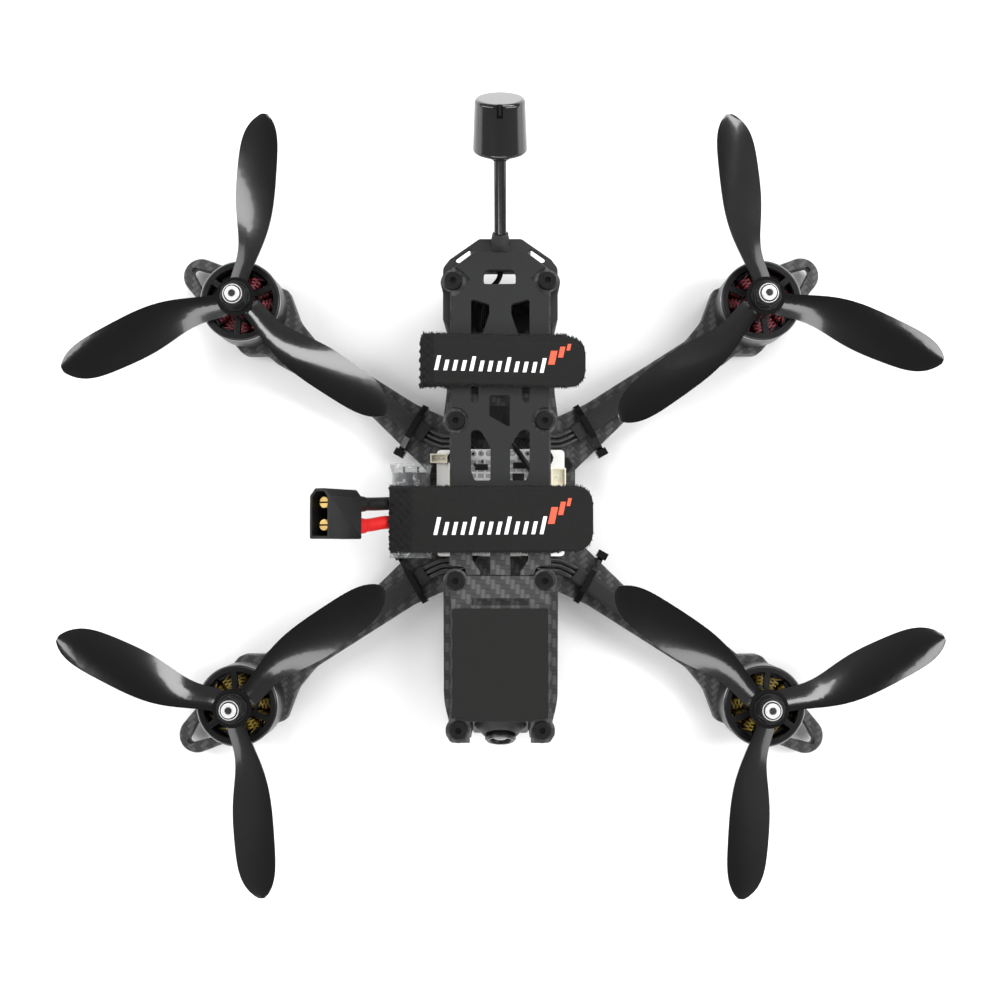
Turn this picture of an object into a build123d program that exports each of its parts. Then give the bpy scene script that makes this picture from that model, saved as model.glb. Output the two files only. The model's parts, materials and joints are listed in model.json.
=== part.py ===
from build123d import *
import os
from math import cos, pi, radians, sin, tan

os.makedirs("parts", exist_ok=True)

# Five-inch racing quadcopter. Millimetres; +Y is the rear, +Z is up, and the origin is on the belly's face.

# Layers of the frame
plate_thick = 2.0
arm_thick = 6.0
standoff_length = 25.0
pad_thick = 1.2
arm_z = plate_thick
mid_z = arm_z + arm_thick
deck_z = mid_z + plate_thick
top_z = deck_z + standoff_length
pad_z = top_z + plate_thick

# Motors and propellers
motor_x = 90.5
motor_y = 70.0
bell_r = 14.0
shaft_r = 2.0
thread_r = 2.5
prop_r = 64.8
prop_seat_z = 26.6
prop_hub_height = 7.0
nut_z = prop_seat_z + prop_hub_height
shaft_top_z = nut_z + 6.0
screw_circle_r = 8.0

# Fasteners
m3_r = 1.5
m3_hole_r = 1.6
m3_head_r = 3.3
m3_head_height = 1.7
nut_height = 2.4
nut_corner_r = 3.1
countersink_r = 3.1
standoff_r = 2.5
standoff_places = [(16.0, 74.4), (15.0, 27.0), (15.0, -26.9), (14.0, -76.7)]
stack_place = (15.25, 15.25)
arm_bolt_places = [(7.0, 6.0), (22.5, 13.5)]

# Electronics bay
esc_z = 15.0
fc_z = 21.5
board_thick = 1.6

# Camera
camera_y = -71.0
camera_z = 22.5
camera_width = 19.0
camera_tilt = 25.0
side_plate_x = 9.9

# Antenna mast, leaning back
mast_y = 86.5
mast_z = 33.0
mast_tilt = 35.0
mast_r = 2.1
mast_length = 33.4

# Power leads and their plug
lead_r = 2.25
wire_r = 0.85
plug_tilt = 58.0
plug_centre = (-48.3, -5.0, 49.7)


def write(builder, name):
    """Label a finished piece and write its own file."""
    builder.part.label = name
    export_step(builder.part, f"parts/{name}.step")


def both(places):
    """Each place in the plan on the right and on the left."""
    return [(side * x, y) for x, y in places for side in (1, -1)]


def corners(places):
    """Each place in the plan in all four quarters."""
    return [(side * x, end * y) for x, y in places for side in (1, -1) for end in (1, -1)]


def outline(points, side=1, end=1, mode=Mode.ADD):
    """A face with straight sides and rounded corners, from (x, y, corner radius), inside a BuildSketch."""
    places = [Vector(side * x, end * y) for x, y, radius in points]
    arcs = []
    for index, here in enumerate(places):
        radius = points[index][2]
        to_before = (places[index - 1] - here).normalized()
        to_after = (places[(index + 1) % len(places)] - here).normalized()
        half_angle = radians(to_before.get_angle(to_after) / 2)
        reach = radius / tan(half_angle)
        middle = here + (to_before + to_after).normalized() * (radius / sin(half_angle) - radius)
        arcs.append((here + to_before * reach, middle, here + to_after * reach))
    with BuildLine() as rim:
        for index, arc in enumerate(arcs):
            if points[index][2] > 0:
                ThreePointArc(*arc)
            Line(arc[2], arcs[(index + 1) % len(arcs)][0])
    make_face(rim.edges(), mode=mode)


def mirrored(points):
    """A half outline from front to rear, closed with its mirror image."""
    return points + [(-x, y, radius) for x, y, radius in reversed(points)]


def bend_radii(points):
    """The largest arcs that a cord's runs leave room for."""
    radii = []
    for before, here, after in zip(points, points[1:], points[2:]):
        run_in = Vector(*here) - Vector(*before)
        run_out = Vector(*after) - Vector(*here)
        half_turn = radians(run_in.get_angle(run_out) / 2)
        radii.append(0.45 * min(run_in.length, run_out.length) / tan(half_turn))
    return radii


# ---------------------------------------------------------------- frame

plate_half = [
    (17.6, -80.5, 3.0), (20.2, -70.0, 30.0), (20.4, -31.5, 5.0), (26.6, -12.2, 6.0),
    (26.6, 12.2, 6.0), (20.4, 31.5, 5.0), (19.3, 40.0, 20.0), (19.3, 78.0, 4.0), (15.0, 82.0, 2.0),
    (10.0, 82.0, 1.0), (8.0, 72.4, 2.0),
]

root_holes = [stack_place] + arm_bolt_places

with BuildPart() as bottom_plate:
    with BuildSketch():
        outline(mirrored(plate_half))
    extrude(amount=plate_thick)
    with Locations(Plane.XY.rotated((180, 0, 0))):
        with Locations(*[(x, -y) for x, y in both(standoff_places)], *corners(root_holes)):
            CounterSinkHole(radius=m3_hole_r, counter_sink_radius=countersink_r, depth=plate_thick)
write(bottom_plate, "bottom_plate")

with BuildPart() as mid_plate:
    with BuildSketch(Plane.XY.offset(mid_z)):
        outline(mirrored(plate_half))
        with Locations(*both(standoff_places), *corners(root_holes)):
            Circle(m3_hole_r, mode=Mode.SUBTRACT)
        with Locations((0, 52), (0, -54)):
            SlotOverall(24, 12, mode=Mode.SUBTRACT)
    extrude(amount=plate_thick)
write(mid_plate, "mid_plate")

# One arm in the rear right quarter: root, inner edge, motor pad, bumper loop, outer edge
arm_outline = [
    (1.0, 1.2, 0.5), (8.0, 1.2, 1.0), (20.0, 6.5, 2.0), (26.9, 12.4, 3.0), (47.5, 32.5, 8.0),
    (81.0, 50.9, 3.0), (84.6, 53.9, 1.5), (92.9, 53.9, 4.0), (128.9, 97.1, 6.4), (76.6, 77.1, 2.2),
    (72.6, 66.2, 10.0), (66.5, 58.7, 10.0), (30.9, 36.1, 20.0), (20.7, 31.5, 1.0), (18.6, 25.8, 2.0),
    (12.5, 19.0, 2.0), (1.0, 8.0, 1.0),
]
loop_window = [(112.8, 86.2, 1.2), (100.6, 83.2, 1.2), (106.0, 73.2, 1.2)]
quarters = {
    "rear_left": (-1, 1),
    "rear_right": (1, 1),
    "front_left": (-1, -1),
    "front_right": (1, -1),
}

for quarter, (side, end) in quarters.items():
    with BuildPart() as arm:
        with BuildSketch(Plane.XY.offset(arm_z)):
            outline(arm_outline, side, end)
            with Locations(*[(side * x, end * y) for x, y in root_holes]):
                Circle(m3_hole_r, mode=Mode.SUBTRACT)
            with Locations((side * motor_x, end * motor_y)):
                Circle(3.5, mode=Mode.SUBTRACT)
                with PolarLocations(screw_circle_r, 4, start_angle=45):
                    Circle(m3_hole_r, mode=Mode.SUBTRACT)
        extrude(amount=arm_thick)
        with BuildSketch(Plane.XY.offset(arm_z)):
            outline(loop_window, side, end)
        extrude(amount=arm_thick, mode=Mode.SUBTRACT)
        chamfer(arm.faces().sort_by(Axis.Z)[-1].outer_wire().edges(), 0.4)
    write(arm, f"arm_{quarter}")

with BuildPart() as standoffs:
    with BuildSketch(Plane.XY.offset(deck_z)):
        with Locations(*both(standoff_places)):
            Circle(standoff_r)
            Circle(m3_r + 0.05, mode=Mode.SUBTRACT)
    extrude(amount=standoff_length)
write(standoffs, "standoffs")

# Openings of the rear top plate and of the pad on it, on the right half
rear_openings = [
    [
        (9.9, 68.2, 0.8), (3.7, 66.4, 0.8), (3.7, 63.0, 2.0), (5.7, 57.0, 3.0), (7.4, 50.0, 3.0),
        (7.4, 33.0, 1.2), (9.9, 33.0, 1.2),
    ],
    [
        (3.3, 6.8, 0.5), (8.6, 6.8, 1.0), (9.9, 10.2, 1.0), (9.9, 23.9, 1.4), (6.8, 23.9, 2.2),
        (3.3, 18.2, 1.5),
    ],
]
rear_window = [(-5.6, 73.2, 0.6), (5.2, 73.2, 0.6), (5.2, 78.1, 2.0), (-5.6, 78.1, 2.0)]
middle_window = [(-3.7, 35.5, 0.6), (3.2, 35.5, 0.6), (3.2, 24.6, 0.6), (-3.7, 28.6, 0.6)]
prong_gap = [
    (3.4, -16.0, 0.8), (9.4, -16.0, 0.8), (9.4, -19.9, 1.5), (6.8, -23.8, 0.4), (6.8, -26.0, 0.1),
    (3.4, -26.0, 0.1),
]
rear_plate_half = [
    (11.2, -24.9, 0.4), (12.0, -22.2, 1.0), (17.0, -21.6, 0.8), (17.0, 78.2, 1.0), (9.0, 84.2, 2.0),
]


def cut_rear_openings():
    """Cut the windows that the rear top plate and its pad share, inside a BuildPart."""
    with BuildSketch(Plane.XY.offset(top_z)) as openings:
        for side in (1, -1):
            for window in rear_openings:
                outline(window, side)
        outline(rear_window)
        outline(middle_window)
    extrude(openings.sketch, amount=plate_thick + pad_thick, mode=Mode.SUBTRACT)


with BuildPart() as top_plate_rear:
    with BuildSketch(Plane.XY.offset(top_z)):
        outline(mirrored(rear_plate_half))
        with Locations(*both([standoff_places[0]])):
            Circle(3.9)
        with Locations(*both([standoff_places[1]])):
            Circle(4.3)
        with Locations(*both(standoff_places[:2])):
            Circle(m3_hole_r, mode=Mode.SUBTRACT)
    extrude(amount=plate_thick)
    cut_rear_openings()
    with BuildSketch(Plane.XY.offset(top_z)):
        for side in (1, -1):
            outline(prong_gap, side)
    extrude(amount=plate_thick, mode=Mode.SUBTRACT)
write(top_plate_rear, "top_plate_rear")

pad_screw_r = 4.4
pad_cusp = [(5.7, -0.6), (3.2, 2.6), (3.2, -3.2)]

with BuildPart() as battery_pad:
    with BuildSketch(Plane.XY.offset(pad_z)):
        outline(mirrored([(16.3, -12.0, 1.0), (16.3, 78.0, 1.0), (8.8, 83.9, 2.0)]))
        with Locations(*both(standoff_places[:2])):
            Circle(pad_screw_r, mode=Mode.SUBTRACT)
        screw_x, screw_y = standoff_places[0]
        for side in (1, -1):
            with BuildLine():
                Polyline(*[(side * (screw_x - x), screw_y - y) for x, y in pad_cusp], close=True)
            make_face(mode=Mode.SUBTRACT)
            with BuildLine():
                Polyline(*[(side * (screw_x + y), screw_y - x) for x, y in pad_cusp], close=True)
            make_face(mode=Mode.SUBTRACT)
    extrude(amount=pad_thick)
    cut_rear_openings()
write(battery_pad, "battery_pad")

with BuildPart() as top_plate_front:
    with BuildSketch(Plane.XY.offset(top_z)):
        outline(mirrored([(16.6, -80.9, 2.0), (18.3, -78.0, 1.5), (16.5, -70.0, 4.0), (16.5, -25.3, 0.5)]))
        with Locations(*both([standoff_places[2]])):
            Circle(4.1)
        with Locations(*both([standoff_places[3]])):
            Circle(4.3)
        with Locations((0, -80.9)):
            Rectangle(20.4, 14.0, mode=Mode.SUBTRACT)
        with Locations((0, -33.9)):
            Rectangle(19.4, 2.4, mode=Mode.SUBTRACT)
        with Locations(*both(standoff_places[2:])):
            Circle(m3_hole_r, mode=Mode.SUBTRACT)
    extrude(amount=plate_thick)
write(top_plate_front, "top_plate_front")

with BuildPart() as front_pad:
    with BuildSketch(Plane.XY.offset(pad_z)):
        with Locations((0, -54.9)):
            RectangleRounded(32.0, 37.6, 0.8)
        with Locations(*both([standoff_places[3]])):
            Circle(pad_screw_r, mode=Mode.SUBTRACT)
    extrude(amount=pad_thick)
write(front_pad, "front_pad")

# ---------------------------------------------------------------- fasteners

with BuildPart() as frame_fasteners:
    for x, y in both(standoff_places):
        with Locations((x, y, top_z - 6)):
            Cylinder(m3_r, plate_thick + 6, align=(Align.CENTER, Align.CENTER, Align.MIN))
        with BuildSketch(Plane((x, y, pad_z))):
            Circle(m3_head_r)
        extrude(amount=m3_head_height, taper=14)
        with BuildSketch(Plane((x, y, pad_z + 0.6))):
            RegularPolygon(1.2, 6)
        extrude(amount=2.0, mode=Mode.SUBTRACT)
    for x, y in both(standoff_places) + corners(arm_bolt_places):
        with Locations((x, y, 0.1)):
            Cone(2.9, m3_r, 1.4, align=(Align.CENTER, Align.CENTER, Align.MIN))
        with Locations((x, y, 1.4)):
            Cylinder(m3_r, deck_z + nut_height - 1.4, align=(Align.CENTER, Align.CENTER, Align.MIN))
        with BuildSketch(Plane((x, y, 0))):
            RegularPolygon(1.1, 6)
        extrude(amount=1.2, mode=Mode.SUBTRACT)
    for x, y in corners(arm_bolt_places):
        with BuildSketch(Plane((x, y, deck_z))):
            RegularPolygon(nut_corner_r, 6)
        extrude(amount=nut_height)
write(frame_fasteners, "frame_fasteners")

grommet_esc_z = 12.6
grommet_fc_z = 18.8
grommet_height = 6.0

with BuildPart() as stack_fasteners:
    for x, y in corners([stack_place]):
        with Locations((x, y, 0.1)):
            Cone(2.9, m3_r, 1.4, align=(Align.CENTER, Align.CENTER, Align.MIN))
        with Locations((x, y, 1.4)):
            Cylinder(m3_r, 26.4, align=(Align.CENTER, Align.CENTER, Align.MIN))
        with BuildSketch(Plane((x, y, deck_z))):
            RegularPolygon(nut_corner_r, 6)
        extrude(amount=grommet_esc_z - deck_z)
        with BuildSketch(Plane((x, y, grommet_fc_z + grommet_height))):
            RegularPolygon(nut_corner_r, 6)
        extrude(amount=nut_height)
        with BuildSketch(Plane((x, y, 0))):
            RegularPolygon(1.1, 6)
        extrude(amount=1.2, mode=Mode.SUBTRACT)
write(stack_fasteners, "stack_fasteners")

with BuildPart() as stack_grommets:
    for low, board_z in ((grommet_esc_z, esc_z), (grommet_fc_z, fc_z)):
        for x, y in corners([stack_place]):
            with Locations((x, y, low)):
                Cylinder(3.0, grommet_height - 0.2, align=(Align.CENTER, Align.CENTER, Align.MIN))
            with BuildSketch(Plane((x, y, board_z - 0.05))):
                Circle(3.2)
                Circle(2.0, mode=Mode.SUBTRACT)
            extrude(amount=board_thick + 0.1, mode=Mode.SUBTRACT)
            with Locations((x, y, low - 1)):
                Cylinder(m3_r + 0.05, 9, align=(Align.CENTER, Align.CENTER, Align.MIN), mode=Mode.SUBTRACT)
write(stack_grommets, "stack_grommets")

# ---------------------------------------------------------------- electronics

with BuildPart() as esc_board:
    with BuildSketch(Plane.XY.offset(esc_z)):
        RectangleRounded(45.0, 37.4, 1.5)
        with Locations(*corners([stack_place])):
            Circle(2.05, mode=Mode.SUBTRACT)
    extrude(amount=board_thick)
    with BuildSketch(Plane.XY.offset(esc_z + board_thick)):
        with Locations(*corners([(5.2, 12.0), (9.6, 12.0), (5.2, 6.4), (9.6, 6.4)])):
            Rectangle(3.4, 4.6)
        with Locations((0, 0)):
            Rectangle(5.5, 5.5)
    extrude(amount=1.0)
write(esc_board, "esc_board")

button_place = (8.0, -12.5)
button_travel = 0.25
button_r = 0.9

with BuildPart() as flight_controller:
    with BuildSketch(Plane.XY.offset(fc_z)):
        RectangleRounded(36.0, 37.0, 2.5)
        with Locations(*corners([stack_place])):
            Circle(2.05, mode=Mode.SUBTRACT)
        with Locations(*[(x, 17.0) for x in (-9.5, -6.8, -4.1, 4.1, 6.8, 9.5)]):
            Circle(0.55, mode=Mode.SUBTRACT)
    extrude(amount=board_thick)
    with BuildSketch(Plane.XY.offset(fc_z + board_thick)):
        with Locations((0, -2)):
            Rectangle(7.0, 7.0)
        with Locations((-6.5, 4.5)):
            Rectangle(3.0, 3.0)
        with Locations((6.2, 8.5)):
            Rectangle(4.0, 3.0)
        with Locations((-6.6, 12.2), (6.6, 12.8)):
            Rectangle(4.4, 2.0)
    extrude(amount=0.9)
    with BuildSketch(Plane.XY.offset(fc_z + board_thick)):
        with Locations(button_place):
            Rectangle(3.6, 3.2)
    extrude(amount=1.1)
    with Locations((button_place[0], button_place[1], fc_z + board_thick + 0.3)):
        Cylinder(button_r + 0.1, 3, align=(Align.CENTER, Align.CENTER, Align.MIN), mode=Mode.SUBTRACT)
write(flight_controller, "flight_controller")

with BuildPart() as boot_button:
    with Locations((button_place[0], button_place[1], fc_z + board_thick + 0.65)):
        Cylinder(button_r, 1.0, align=(Align.CENTER, Align.CENTER, Align.MIN))
    fillet(boot_button.faces().sort_by(Axis.Z)[-1].edges(), 0.25)
write(boot_button, "boot_button")

# Centre, width and depth of each wire connector, then the board height that it stands on
connector_places = [
    (-21.6, 15.6, 6.0, 3.2, esc_z), (20.3, 9.0, 5.2, 6.4, esc_z), (-16.4, 9.0, 3.0, 4.6, fc_z),
    (16.4, 8.4, 3.0, 6.0, fc_z), (0.0, -15.6, 9.0, 3.4, fc_z),
]

connector_height = 2.8

with BuildPart() as wire_connectors:
    for x, y, width, depth, board_z in connector_places:
        with BuildSketch(Plane((x, y, board_z + board_thick))):
            Rectangle(width, depth)
        extrude(amount=connector_height)
        with BuildSketch(Plane((x, y, board_z + board_thick + connector_height))):
            Rectangle(width - 1.0, depth - 1.0)
        extrude(amount=-1.6, mode=Mode.SUBTRACT)
write(wire_connectors, "wire_connectors")

with BuildPart() as video_transmitter:
    with Locations((0, 53, 12.6)):
        Box(27, 27, 1.4, align=(Align.CENTER, Align.CENTER, Align.MIN))
    with Locations(*[(sx * 11.6, 53 + sy * 11.6, deck_z) for sx in (-1, 1) for sy in (-1, 1)]):
        Cylinder(1.6, 2.6, align=(Align.CENTER, Align.CENTER, Align.MIN))
    with Locations((0, 51, 14.0)):
        Box(22, 19.8, 4.6, align=(Align.CENTER, Align.CENTER, Align.MIN))
    with Locations(*[(x, 51, 18.6) for x in (-9, -6, -3, 0, 3, 6, 9)]):
        Box(1.0, 19.8, 3.4, align=(Align.CENTER, Align.CENTER, Align.MIN))
write(video_transmitter, "video_transmitter")

with BuildPart() as radio_receiver:
    with Locations((0, 29, deck_z)):
        Box(18, 11.5, 2.2, align=(Align.CENTER, Align.CENTER, Align.MIN))
    with Locations((-3, 29, deck_z + 2.2)):
        Box(7, 7, 1.2, align=(Align.CENTER, Align.CENTER, Align.MIN))
write(radio_receiver, "radio_receiver")

capacitor_x = -31.5
capacitor_z = 17.4
capacitor_r = 6.25
capacitor_plane = Plane((capacitor_x, -16.0, capacitor_z), x_dir=(1, 0, 0), z_dir=(0, 1, 0))

with BuildPart() as capacitor:
    with BuildSketch(capacitor_plane):
        Circle(capacitor_r)
    extrude(amount=26.5)
    fillet(capacitor.edges().filter_by(GeomType.CIRCLE), 0.6)
    with BuildSketch(capacitor_plane.offset(26.5)):
        with Locations((-2.5, 0), (2.5, 0)):
            Circle(0.4)
    extrude(amount=2.2)
write(capacitor, "capacitor")

with BuildPart() as capacitor_sleeve:
    with BuildSketch(capacitor_plane.offset(-2.2)):
        Circle(capacitor_r + 0.4)
        Circle(capacitor_r + 0.1, mode=Mode.SUBTRACT)
    extrude(amount=31.4)
write(capacitor_sleeve, "capacitor_sleeve")

# ---------------------------------------------------------------- camera

side_plate_outline = [
    (-80.2, deck_z), (-57.0, deck_z), (-54.0, 20.0), (-57.0, top_z), (-76.0, top_z), (-80.2, 29.0),
]
side_plate_thick = 1.5
camera_screw_r = 1.0

with BuildPart() as camera_side_plates:
    for side in (1, -1):
        plate_plane = Plane((side * side_plate_x, 0, 0), x_dir=(0, 1, 0), z_dir=(side, 0, 0))
        with BuildSketch(plate_plane):
            with BuildLine():
                Polyline(*[(y, side * z) for y, z in side_plate_outline], close=True)
            make_face()
            with Locations((camera_y, side * camera_z)):
                Circle(camera_screw_r + 0.08, mode=Mode.SUBTRACT)
            with Locations((-62.0, side * 17.0), (-62.0, side * 28.0)):
                Circle(2.6, mode=Mode.SUBTRACT)
        extrude(amount=side_plate_thick)
write(camera_side_plates, "camera_side_plates")

camera_axis = (0, -cos(radians(camera_tilt)), sin(radians(camera_tilt)))
camera_plane = Plane((0, camera_y, camera_z), x_dir=(1, 0, 0), z_dir=camera_axis)

# Distances along the camera's axis, from its pivot
case_half = 6.0
nose_tip = 9.6
lens_seat = 2.6
lens_ring = 9.8
lens_tip = 11.7
nose_r = 9.0
lens_r = 4.85

with BuildPart() as camera_case:
    with BuildSketch(camera_plane.offset(-case_half)):
        RectangleRounded(camera_width, camera_width, 1.5)
    extrude(amount=2 * case_half)
    with BuildSketch(camera_plane.offset(case_half)):
        Circle(nose_r)
    extrude(amount=nose_tip - case_half, taper=42)
    with BuildSketch(camera_plane.offset(nose_tip)):
        Circle(lens_r + 0.1)
    extrude(amount=lens_seat - 0.2 - nose_tip, mode=Mode.SUBTRACT)
    with BuildSketch(Plane((camera_width / 2, camera_y, camera_z), z_dir=(-1, 0, 0))):
        Circle(camera_screw_r + 0.02)
    extrude(amount=camera_width, mode=Mode.SUBTRACT)
write(camera_case, "camera_case")

with BuildPart() as camera_lens:
    with BuildSketch(camera_plane.offset(lens_seat)):
        Circle(lens_r)
    extrude(amount=lens_ring - lens_seat)
    with BuildSketch(camera_plane.offset(lens_ring)):
        Circle(lens_r + 0.45)
    extrude(amount=lens_tip - lens_ring)
    chamfer(camera_lens.faces().sort_by(Axis(camera_plane.origin, camera_plane.z_dir))[-1].edges(), 0.7)
    with BuildSketch(camera_plane.offset(lens_tip)):
        Circle(3.8)
    extrude(amount=-1.8, taper=20, mode=Mode.SUBTRACT)
write(camera_lens, "camera_lens")

with BuildPart() as camera_screws:
    for side in (1, -1):
        outer = side_plate_x + side_plate_thick + 0.3
        with BuildSketch(Plane((side * (outer + 1.2), camera_y, camera_z), z_dir=(-side, 0, 0))):
            Circle(1.9)
        extrude(amount=1.2)
        with BuildSketch(Plane((side * outer, camera_y, camera_z), z_dir=(-side, 0, 0))):
            Circle(camera_screw_r)
        extrude(amount=outer - camera_width / 2 + 2.5)
        with BuildSketch(Plane((side * (outer + 1.2), camera_y, camera_z), z_dir=(-side, 0, 0))):
            RegularPolygon(0.8, 6)
        extrude(amount=0.7, mode=Mode.SUBTRACT)
write(camera_screws, "camera_screws")

# ---------------------------------------------------------------- antenna

mast_dir = (0, cos(radians(mast_tilt)), sin(radians(mast_tilt)))
mast_plane = Plane((0, mast_y, mast_z), x_dir=(1, 0, 0), z_dir=mast_dir)
mount_clear = 0.1
mount_slot = (12.3, 83.4)
mount_slot_turn = 35
mount_flange = 2.4

with BuildPart() as antenna_mount:
    with BuildSketch(Plane.XY.offset(deck_z + mount_clear)):
        outline(mirrored([(19.5, 60.5, 1.5), (19.5, 79.3, 3.0), (17.2, 82.3, 2.0), (7.2, 89.3, 2.0)]))
        outline(mirrored([(14.4, 59.0, 0.0), (14.4, 76.8, 1.0), (6.5, 82.5, 1.0)]), mode=Mode.SUBTRACT)
        with Locations(*both([standoff_places[0]])):
            Circle(4.3)
        with Locations(*both([standoff_places[0]])):
            Circle(standoff_r + mount_clear, mode=Mode.SUBTRACT)
        for side in (1, -1):
            with Locations(Location((side * mount_slot[0], mount_slot[1]), -side * mount_slot_turn)):
                SlotOverall(6.6, 2.0, mode=Mode.SUBTRACT)
    extrude(amount=standoff_length - 2 * mount_clear)
    with BuildSketch(Plane.XY.offset(deck_z + mount_clear + mount_flange)):
        for side in (1, -1):
            with Locations(Location((side * mount_slot[0], mount_slot[1]), -side * mount_slot_turn)):
                with Locations((0, 3.0)):
                    Rectangle(7.0, 8.0)
    extrude(amount=standoff_length - 2 * mount_clear - 2 * mount_flange, mode=Mode.SUBTRACT)
    with BuildSketch(mast_plane.offset(-6.0)):
        Circle(5.0)
    extrude(amount=11.5, taper=11.5)
    with Locations((0, 77.5, top_z - mount_clear)):
        Box(20, 14, 10, align=(Align.CENTER, Align.CENTER, Align.MIN), mode=Mode.SUBTRACT)
    with BuildSketch(mast_plane.offset(-12.0)):
        Circle(mast_r + 0.05)
    extrude(amount=24.0, mode=Mode.SUBTRACT)
write(antenna_mount, "antenna_mount")

with BuildPart() as antenna_mast:
    with BuildSketch(mast_plane.offset(-5.0)):
        Circle(mast_r)
    extrude(amount=mast_length + 5.0)
    with BuildSketch(mast_plane.offset(mast_length - 2.2)):
        Circle(3.1)
    extrude(amount=2.2, taper=8)
write(antenna_mast, "antenna_mast")

cap_length = 17.5
cap_r = 9.05
cap_taper = 2.7
cap_far_r = cap_r - cap_length * tan(radians(cap_taper))

with BuildPart() as antenna_cap:
    with BuildSketch(mast_plane.offset(mast_length)):
        Circle(cap_r)
    extrude(amount=cap_length, taper=cap_taper)
    fillet(antenna_cap.edges().filter_by(GeomType.CIRCLE), 1.3)
    with BuildSketch(mast_plane.offset(mast_length + cap_length)):
        with Locations((0, -cap_far_r)):
            SlotOverall(2.6, 1.9, rotation=90)
    extrude(amount=-4.2, mode=Mode.SUBTRACT)
write(antenna_cap, "antenna_cap")

coax_route = [
    (0, 82.0, 29.8), (0, 77.6, 26.7), (-3.6, 74.4, 23.6), (-6.4, 69.6, 21.4), (-6.4, 64.9, 19.0),
    (-6.4, 61.5, 17.6),
]

with BuildPart() as antenna_coax:
    with BuildLine() as coax_line:
        FilletPolyline(*coax_route, radius=bend_radii(coax_route))
    with BuildSketch(Plane(coax_line.line @ 0, z_dir=coax_line.line % 0)):
        Circle(0.9)
    sweep(path=coax_line.line)
write(antenna_coax, "antenna_coax")

# ---------------------------------------------------------------- motor wires, sleeves and ties

sleeve_start = (77.0, 57.2)
sleeve_bend = (40.5, 34.9)
sleeve_end = (26.6, 24.8)
sleeve_z = mid_z + 1.45
wire_pitch = 1.85

with BuildPart() as motor_wires:
    for side, end in quarters.values():
        for lane in (-1, 0, 1):
            shift = lane * wire_pitch
            route = [
                (side * (80.6 - 0.52 * shift), end * (59.6 + 0.85 * shift), sleeve_z),
                (side * (40.5 - 0.55 * shift), end * (34.9 + 0.84 * shift), sleeve_z),
                (side * (25.6 - 0.50 * shift), end * (24.1 + 0.87 * shift), sleeve_z),
                (side * (20.4 - 0.22 * shift), end * (21.9 + 0.98 * shift), 13.0),
                (side * (13.0 - 0.44 * shift), end * (21.6 + 1.00 * shift), 17.6),
                (side * (9.0 - 0.90 * shift), end * (17.2 + 0.40 * shift), 17.55),
            ]
            with BuildLine() as wire_line:
                FilletPolyline(*route, radius=[min(radius, 8.0) for radius in bend_radii(route)])
            with BuildSketch(Plane(wire_line.line @ 0, z_dir=wire_line.line % 0)):
                Circle(wire_r)
            sweep(path=wire_line.line)
write(motor_wires, "motor_wires")

with BuildPart() as wire_sleeves:
    for side, end in quarters.values():
        route = [(side * x, end * y, sleeve_z) for x, y in (sleeve_start, sleeve_bend, sleeve_end)]
        with BuildLine() as sleeve_line:
            FilletPolyline(*route, radius=[40.0])
        with BuildSketch(Plane(sleeve_line.line @ 0, x_dir=(0, 0, 1), z_dir=sleeve_line.line % 0)):
            SlotOverall(2 * wire_pitch + 2 * wire_r + 1.2, 2.8, rotation=90)
            SlotOverall(2 * wire_pitch + 2 * wire_r + 0.6, 2.1, rotation=90, mode=Mode.SUBTRACT)
        sweep(path=sleeve_line.line)
write(wire_sleeves, "wire_sleeves")

tie_place = (31.2, 27.5)
tie_angle = 29.0
tie_width = 2.2
tie_outer = [(-9.4, 0.9), (8.9, 0.9), (8.9, 8.2), (4.4, 11.9), (-4.4, 11.9), (-9.4, 8.6)]
tie_inner = [(-8.6, 1.8), (8.1, 1.8), (8.1, 8.1), (4.0, 11.1), (-4.0, 11.1), (-8.6, 8.1)]

with BuildPart() as cable_ties:
    for side, end in quarters.values():
        across = (-side * sin(radians(tie_angle)), end * cos(radians(tie_angle)), 0)
        along = (side * cos(radians(tie_angle)), end * sin(radians(tie_angle)), 0)
        flip = side * end
        tie_plane = Plane((side * tie_place[0], end * tie_place[1], 0), x_dir=across, z_dir=along)
        with BuildSketch(tie_plane):
            for loop, mode in ((tie_outer, Mode.ADD), (tie_inner, Mode.SUBTRACT)):
                with BuildLine():
                    Polyline(*[(x, flip * z) for x, z in loop], close=True)
                make_face(mode=mode)
        extrude(amount=tie_width / 2, both=True)
        with BuildSketch(tie_plane):
            with Locations((-10.5, flip * 7.6)):
                Rectangle(2.6, 4.4)
        extrude(amount=1.9, both=True)
write(cable_ties, "cable_ties")

# ---------------------------------------------------------------- power leads and plug

lead_black_route = [
    (-19.6, 1.0, 17.5), (-22.3, 0.4, 25.5), (-30.0, -0.4, 32.0), (-38.6, -0.9, 36.0), (-44.3, -1.4, 43.3),
    (-48.3, -1.4, 49.7),
]
lead_red_route = [
    (-19.6, -9.0, 17.5), (-22.3, -8.4, 25.5), (-30.0, -7.2, 32.0), (-38.6, -7.0, 36.0), (-44.3, -8.6, 43.3),
    (-48.3, -8.6, 49.7),
]

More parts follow.
